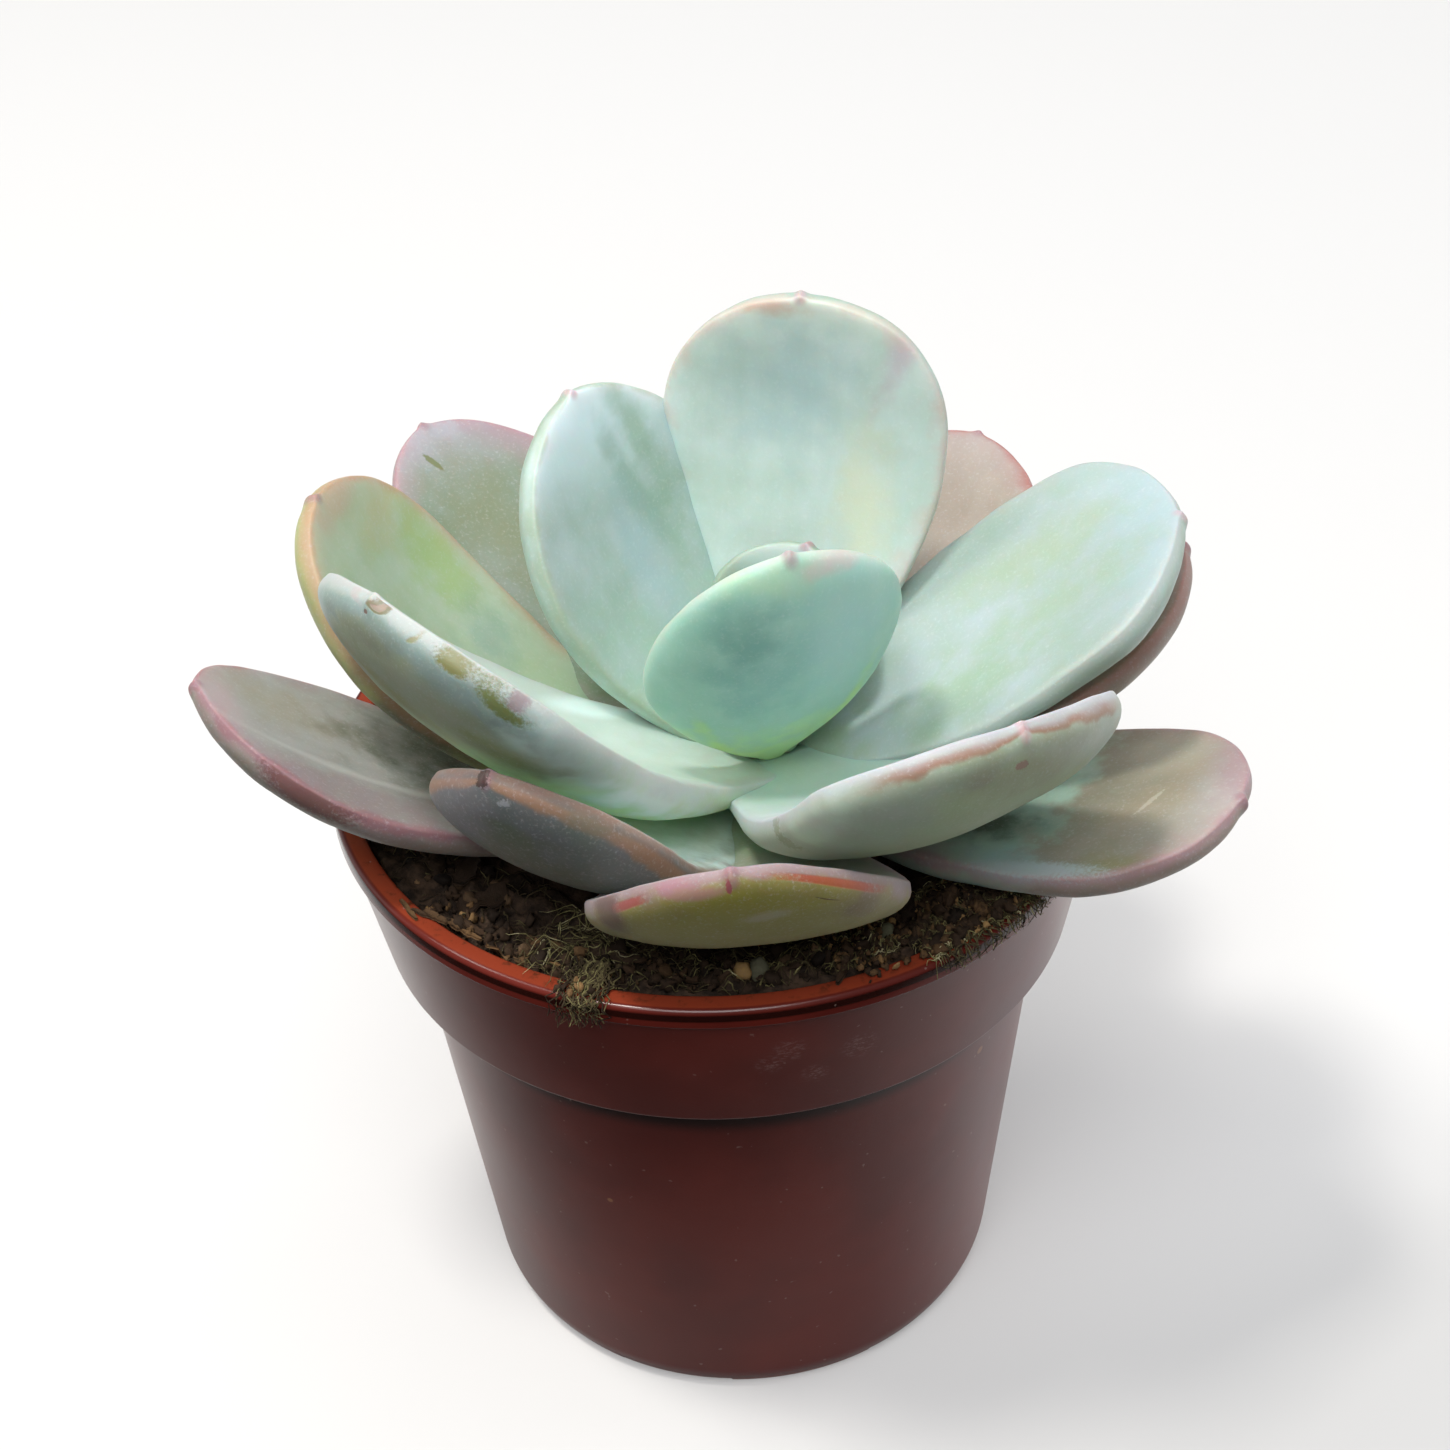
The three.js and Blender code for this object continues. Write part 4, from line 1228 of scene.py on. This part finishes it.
# %% The soil's finish
def peat(name, low, high, relief=0.25):
    """Dark crumbly matter, patchy between the low colour and the high one."""
    finish = Finish(name, Specular_IOR_Level=0.15)
    at = finish.place()
    coarse = finish.noise(at, 0.55, detail=5, roughness=0.65)
    fine = finish.noise(at, 3.2, detail=3, roughness=0.7)
    colour = finish.mix(coarse.step(0.35, 0.7), low, high)
    colour = finish.mix(fine.step(0.55, 0.75) * 0.5, colour, high)
    roughness = 0.85 - 0.15 * fine
    return finish.done(colour, roughness, finish.bump(coarse * 0.5 + fine * 0.5, relief))


finish_piece(soil, peat("peat", "1c1612", "4c3c30"), "soil")
print("the soil is finished")

# %% [markdown]
# ## Crumbs, bark and moss
# What tells soil from a brown cushion is what lies loose on it. Thousands of bits could be
# instances, but each would then be the same. Here every bit is made from its own seeded draws and
# added to one mesh for its kind, with a tint of its own that the material turns into a colour.


# %% A pile of small bits
class Pile:
    def __init__(self):
        self.points = []
        self.faces = []
        self.tints = []

    def add(self, points, faces, tint):
        first = len(self.points)
        self.points += [tuple(p) for p in points]
        self.faces += [tuple(first + v for v in face) for face in faces]
        self.tints += [tint] * len(points)

    def piece(self, name, material, smooth=True):
        thing = make_mesh(name, self.points, self.faces, {"tint": self.tints}, smooth)
        return finish_piece(thing, material)


def ball():
    """The points and faces of a small round lump, one unit in radius."""
    form = bmesh.new()
    bmesh.ops.create_icosphere(form, subdivisions=2, radius=1)
    points = [v.co.copy() for v in form.verts]
    faces = [[v.index for v in face.verts] for face in form.faces]
    form.free()
    return points, faces


BALL = ball()
print("points of a lump:", len(BALL[0]))


def lump(draw, place, sizes, rough=0.3):
    """A rough lump with half sizes in millimetres, turned at random."""
    turn = Euler([draw.uniform(0, 6.3) for _ in range(3)]).to_matrix()
    shift = Vector([draw.uniform(0, 50) for _ in range(3)])
    points = []
    for p in BALL[0]:
        swell = 1 + rough * noise.noise(p * 1.7 + shift)
        points.append(Vector(place) + turn @ Vector([c * s * swell for c, s in zip(p, sizes)]))
    return points, BALL[1]


def tinted(name, stops, relief=0.1, patchy=0.0):
    """A dry matt finish whose colour each bit picks from a ramp by its own tint and its patch's."""
    finish = Finish(name, Specular_IOR_Level=0.2)
    at = finish.place()
    fine = finish.noise(at, 3, detail=4, roughness=0.7)
    patches = finish.noise(at, 0.45, detail=2)
    share = (finish.stored("tint") + (fine - 0.5) * 0.35 + (patches - 0.5) * patchy).clamped()
    colour = finish.node("ShaderNodeValToRGB", {"stops": stops}, {"Fac": share})
    return finish.done(colour, 0.85 - 0.1 * fine, finish.bump(fine, relief))


# %% Crumbs of soil
CRUMB_COUNT = 620
CRUMB_HALF = (0.3, 1.15)


def crumbs():
    draw = random.Random(71)
    pile = Pile()
    while len(pile.tints) < CRUMB_COUNT * len(BALL[0]):
        azimuth = draw.uniform(0, 2 * math.pi)
        radius = SOIL_RADIUS * math.sqrt(draw.uniform(0.12, 0.985))
        half = CRUMB_HALF[0] + (CRUMB_HALF[1] - CRUMB_HALF[0]) * draw.random() ** 2.2
        x, y = radius * math.cos(azimuth), radius * math.sin(azimuth)
        height = soil_at(x, y) + 0.25 * half
        if ceiling(x, y, height - 3) < height + 1.6 * half or radius + half > SOIL_RADIUS + 0.3:
            continue
        sizes = [half * draw.uniform(0.7, 1.3), half * draw.uniform(0.7, 1.1), half * draw.uniform(0.5, 0.9)]
        pile.add(*lump(draw, (x, y, height), sizes, rough=0.9), tint=draw.random())
    return pile


CRUMB_STOPS = [(0, "17110d"), (0.6, "32261c"), (0.9, "584532"), (1, "8a6e50")]
crumb_pile = crumbs()
crumb_pile.piece("soil_crumbs", tinted("crumb", CRUMB_STOPS))
print("crumb faces:", len(crumb_pile.faces))

# %% [markdown]
# ## Moss, bark and dry scraps
# At the right the soil is heaped over the rim and grown with moss. At the left dry bark scraps lie
# on the rim, and a tuft of moss hangs over it in front. A moss stem is a thin tube that wanders as
# it grows. Each tube follows the surface beneath it: the soil, the top of the rim, then free air.


# %% Where small things can rest
HANG = 43.0


def rest_height(x, y):
    """The height of what lies under a place: soil, then the rim."""
    radius = math.hypot(x, y)
    if radius < SOIL_RADIUS:
        return soil_at(x, y)
    return POT_HEIGHT if radius < RIM_RADIUS else POT_HEIGHT - 4 * (radius - RIM_RADIUS)


def polar(azimuth, radius):
    turn = math.radians(azimuth)
    return radius * math.cos(turn), radius * math.sin(turn)


def tube(path, radii, sides=4):
    """A thin tube along a path of points in millimetres, closed at both ends."""
    points, faces = [], []
    for i, place in enumerate(path):
        ahead = (Vector(path[min(i + 1, len(path) - 1)]) - Vector(path[max(i - 1, 0)])).normalized()
        side = ahead.cross(Vector((0.3, 0.2, 0.93))).normalized()
        up = side.cross(ahead)
        for j in range(sides):
            turn = 2 * math.pi * j / sides
            points.append(Vector(place) + (side * math.cos(turn) + up * math.sin(turn)) * radii[i])
    faces += [tuple(reversed(face)) for face in ring_faces(len(path), sides)]
    faces.append(tuple(range(sides)))
    faces.append(tuple(reversed(range(len(points) - sides, len(points)))))
    return points, faces


print("height of the soil at the left edge:", round(rest_height(-38, 0), 1))

# %% Moss
MOSS_STEPS = 6


def moss_stem(draw, x, y, length, radius, lift, heading=None):
    """A path that wanders over what it lies on and stays below the leaves."""
    heading = draw.uniform(0, 6.3) if heading is None else heading + draw.gauss(0, 0.6)
    rise = draw.uniform(0.1, 1) * lift
    path = []
    for i in range(MOSS_STEPS + 1):
        share = i / MOSS_STEPS
        bed = rest_height(x, y) + radius
        height = bed + rise * math.sin(share * math.pi * 0.8) + 0.3 * noise.noise(Vector((x, y, rise)))
        roof = ceiling(x, y, bed - 4) - 0.4
        path.append((x, y, max(bed, min(height, roof))))
        heading += draw.gauss(0, 0.35)
        x += length / MOSS_STEPS * math.cos(heading)
        y += length / MOSS_STEPS * math.sin(heading)
        radial = math.hypot(x, y)
        if radial > HANG:
            x, y = x * HANG / radial, y * HANG / radial
    return path


def moss_spot(pile, draw, azimuths, radii, count, length, lift, radius, tints, heading=None):
    """Many moss stems that start inside a patch between two azimuths and two radii, given in pairs."""
    for _ in range(count):
        x, y = polar(draw.uniform(*azimuths), draw.uniform(*radii))
        thick = draw.uniform(*radius)
        path = moss_stem(draw, x, y, draw.uniform(*length), thick, lift, heading)
        widths = [thick * (1 - 0.7 * i / MOSS_STEPS) for i in range(MOSS_STEPS + 1)]
        if min(p[2] - rest_height(p[0], p[1]) for p in path) > -0.05:
            pile.add(*tube(path, widths), tint=draw.uniform(*tints))


MOSS_SPOTS = [
    # azimuths, radii, count, lengths, lift, thicknesses, tints and perhaps a heading
    # first the grown heap at the right and its edge over the rim, then the grass-like tuft in front
    ((286, 330), (30, 39), 1200, (0.8, 2.2), 1.0, (0.05, 0.13), (0.25, 0.95)),
    ((299, 322), (37, 42.4), 900, (0.7, 1.9), 0.9, (0.05, 0.13), (0.3, 0.95)),
    ((236, 250), (27, 38), 150, (2.5, 6), 1.6, (0.05, 0.11), (0.2, 1.0), math.radians(250)),
    ((245, 252), (36, 41.5), 90, (1.2, 3), 0.8, (0.05, 0.12), (0.1, 0.8)),
    ((196, 236), (26, 38.5), 160, (1, 3), 0.7, (0.06, 0.12), (0.0, 0.5)),
    ((252, 286), (30, 39), 330, (1, 3), 0.8, (0.06, 0.12), (0.0, 0.8)),
    ((330, 560), (28, 38.5), 420, (1, 3), 0.8, (0.06, 0.12), (0.0, 0.6)),
]


def moss():
    draw = random.Random(23)
    pile = Pile()
    for spot in MOSS_SPOTS:
        moss_spot(pile, draw, *spot)
    return pile


MOSS_STOPS = [(0, "241c14"), (0.35, "443a28"), (0.65, "605a3c"), (0.88, "8a8458"), (1, "b8b08c")]
moss_pile = moss()
moss_pile.piece("moss", tinted("moss", MOSS_STOPS, relief=0.05, patchy=1.2))
print("moss faces:", len(moss_pile.faces))


# %% Scraps that hang over the rim
FIBRE_STEPS = 12
FIBRE_START = 37
FRINGES = [
    # count, how an azimuth is drawn, reaches, drops, thicknesses, and the palest tint
    (46, lambda draw: draw.gauss(249.5, 2.2), (0.1, 1.2), (0.5, 3.2), (0.06, 0.16), 0.8),
    (40, lambda draw: draw.uniform(300, 321), (0.1, 0.7), (0.3, 1.5), (0.08, 0.16), 0.7),
]


def hanging(draw, azimuth, reach, drop, radius):
    """A fibre from the soil across the rim and down outside the collar."""
    path = []
    shares = np.linspace(0, 1, FIBRE_STEPS)
    for share in shares:
        radial = FIBRE_START + (HANG + reach - FIBRE_START) * min(1, share * 1.35)
        x, y = polar(azimuth + draw.gauss(0, 0.5), radial)
        bed = rest_height(x, y) if radial < RIM_RADIUS else POT_HEIGHT
        past = max(0, share - 0.7) / 0.3
        path.append((x, y, max(bed, rest_height(*polar(azimuth, 40))) + radius + 0.25 - drop * past**1.5))
    return tube(path, [radius * (1 - 0.6 * share) for share in shares])


def fringe():
    draw = random.Random(5)
    pile = Pile()
    for count, where, reach, drop, radius, tint in FRINGES:
        for _ in range(count):
            azimuth = where(draw)
            sizes = [draw.uniform(*pair) for pair in (reach, drop, radius)]
            pile.add(*hanging(draw, azimuth, *sizes), draw.random() * tint)
    return pile


fringe_pile = fringe()
fringe_pile.piece("fringe", tinted("fringe", MOSS_STOPS, relief=0.05))
print("fringe faces:", len(fringe_pile.faces))


# %% Heaped crumbs and bark
def heaped(pile, draw, azimuths, radii, count, sizes, tints, lift=0.0):
    """Lumps that rest on the soil or the rim, so a heap can spill over the edge."""
    for _ in range(count):
        x, y = polar(draw.uniform(*azimuths), draw.uniform(*radii))
        half = draw.uniform(*sizes)
        height = rest_height(x, y) + 0.55 * half + lift * draw.random()
        if ceiling(x, y, height - 2) > height + 1.7 * half:
            shape = [half, half * draw.uniform(0.6, 1), half * draw.uniform(0.4, 0.8)]
            pile.add(*lump(draw, (x, y, height), shape, rough=1.0), tint=draw.uniform(*tints))


def scrap(draw, azimuth, radius, long, wide, turn, lift=0.1):
    """A dry flat scrap with curled edges, lying along the direction turn."""
    x, y = polar(azimuth, radius)
    direction = math.radians(turn)
    points, faces = [], []
    steps, across = 8, 4
    curl = draw.uniform(0.1, 0.5)
    for side in (1, -1):
        for i in range(steps + 1):
            for j in range(across + 1):
                u, v = i / steps * 2 - 1, j / across * 2 - 1
                ragged = 0.75 + 0.35 * noise.noise(Vector((u * 3, v, azimuth)))
                forward = u * long / 2
                sideways = v * wide / 2 * ragged * (1 - 0.5 * abs(u) ** 3)
                px = x + forward * math.cos(direction) - sideways * math.sin(direction)
                py = y + forward * math.sin(direction) + sideways * math.cos(direction)
                height = rest_height(px, py) + lift + curl * v * v * wide / 2
                height += 0.15 * noise.noise(Vector((u * 4, v * 3, 7)))
                points.append((px, py, max(height, rest_height(x, y) + 0.5 * lift) + 0.14 * (side + 1)))
    grid = (steps + 1) * (across + 1)
    top = ring_faces(steps + 1, across + 1, closed=False)
    faces += [tuple(reversed(face)) for face in top]
    faces += [tuple(v + grid for v in face) for face in top]
    border = [*range(across + 1), *range(2 * across + 1, grid, across + 1)]
    border += [*range(grid - 2, grid - across - 2, -1), *range(grid - 2 * (across + 1), 0, -(across + 1))]
    faces += [(a, b, b + grid, a + grid) for a, b in zip(border, border[1:] + border[:1])]
    return points, faces


def bark():
    draw = random.Random(11)
    pile = Pile()
    heaped(pile, draw, (298, 322), (33, 41.6), 260, (0.35, 0.95), (0.0, 0.7), lift=0.5)
    heaped(pile, draw, (286, 322), (31, 41.9), 420, (0.2, 0.5), (0.3, 1.0), lift=0.7)
    heaped(pile, draw, (245.5, 251.5), (37.5, 42.7), 34, (0.2, 0.55), (0.1, 0.9), lift=0.4)
    heaped(pile, draw, (216, 246), (35, 39.5), 80, (0.3, 0.8), (0.1, 0.9), lift=0.2)
    heaped(pile, draw, (250, 300), (35, 39), 70, (0.3, 0.8), (0.0, 0.6), lift=0.2)
    # azimuth, radius, length, width, direction, tint
    for azimuth, radius, long, wide, turn, tint in (
        (217.5, 41.2, 3.6, 0.7, 300, 0.7),
        (219.5, 40.6, 2.6, 0.6, 325, 0.5),
        (221.5, 39.9, 3.2, 1.0, 318, 0.6),
        (224.5, 39.2, 2.6, 1.2, 300, 0.65),
        (226.5, 37.6, 3.0, 1.2, 330, 0.5),
        (228.5, 39.4, 2.6, 0.9, 322, 0.75),
        (231.5, 38.6, 2.4, 1.2, 300, 0.65),
        (233.5, 39.3, 2.4, 1.0, 345, 0.75),
        (236.5, 38.3, 3.2, 0.6, 310, 0.5),
        (240.0, 37.6, 2.8, 0.5, 350, 0.5),
        (222.0, 34.0, 5.5, 3.6, 20, 0.25),
        (215.0, 33.0, 4.5, 3.0, 70, 0.2),
        (268.5, 37.5, 3.2, 0.8, 20, 0.5),
        (286.9, 39.1, 4.8, 1.1, 251, 0.45),
        (297.0, 37.3, 3.5, 0.6, 40, 0.6),
        (308.0, 39.0, 3.0, 0.5, 10, 0.7),
        (60.0, 34.0, 5.0, 1.8, 130, 0.5),
        (100.0, 36.0, 4.0, 1.4, 20, 0.6),
        (150.0, 36.5, 4.5, 1.2, 70, 0.5),
        (20.0, 36.5, 3.5, 1.6, 110, 0.6),
    ):
        pile.add(*scrap(draw, azimuth, radius, long, wide, turn), tint=tint)
    return pile


BARK_STOPS = [(0, "19120d"), (0.5, "3e2e21"), (0.8, "6c5236"), (1, "9a7a50")]
bark_pile = bark()
bark_pile.piece("bark", tinted("bark", BARK_STOPS, relief=0.12))
print("bark faces:", len(bark_pile.faces))

# %% A few single pieces
chips = Pile()
chip_draw = random.Random(3)
CHIP_ROWS = [
    # azimuth, radius, half size, tint
    (272, 36.9, 1.1, 0.9),
    (274.6, 36.5, 1.2, 0.35),
    (276, 37.6, 0.6, 0.75),
    (297, 35.5, 1.0, 0.5),
]
for azimuth, radius, half, tint in CHIP_ROWS:
    chip_x, chip_y = polar(azimuth, radius)
    chip_at = (chip_x, chip_y, rest_height(chip_x, chip_y) + 0.7 * half)
    chips.add(*lump(chip_draw, chip_at, (half, half * 0.85, half * 0.8), rough=0.4), tint=tint)
CHIP_STOPS = [(0, "2e2622"), (0.55, "74745e"), (0.75, "8a7058"), (1, "a08048")]
chips.piece("chips", tinted("chip", CHIP_STOPS, relief=0.15))
print("chips:", len(CHIP_ROWS))

# %% [markdown]
# ## The end
# The last cell prints the size of the finished box, so that it can be compared with the solids' size
# printed at the start, and hands the scene over.

# %% Print the finished box and finish
finished_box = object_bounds()
print("finished size in mm:", in_mm(finished_box[1] - finished_box[0]))
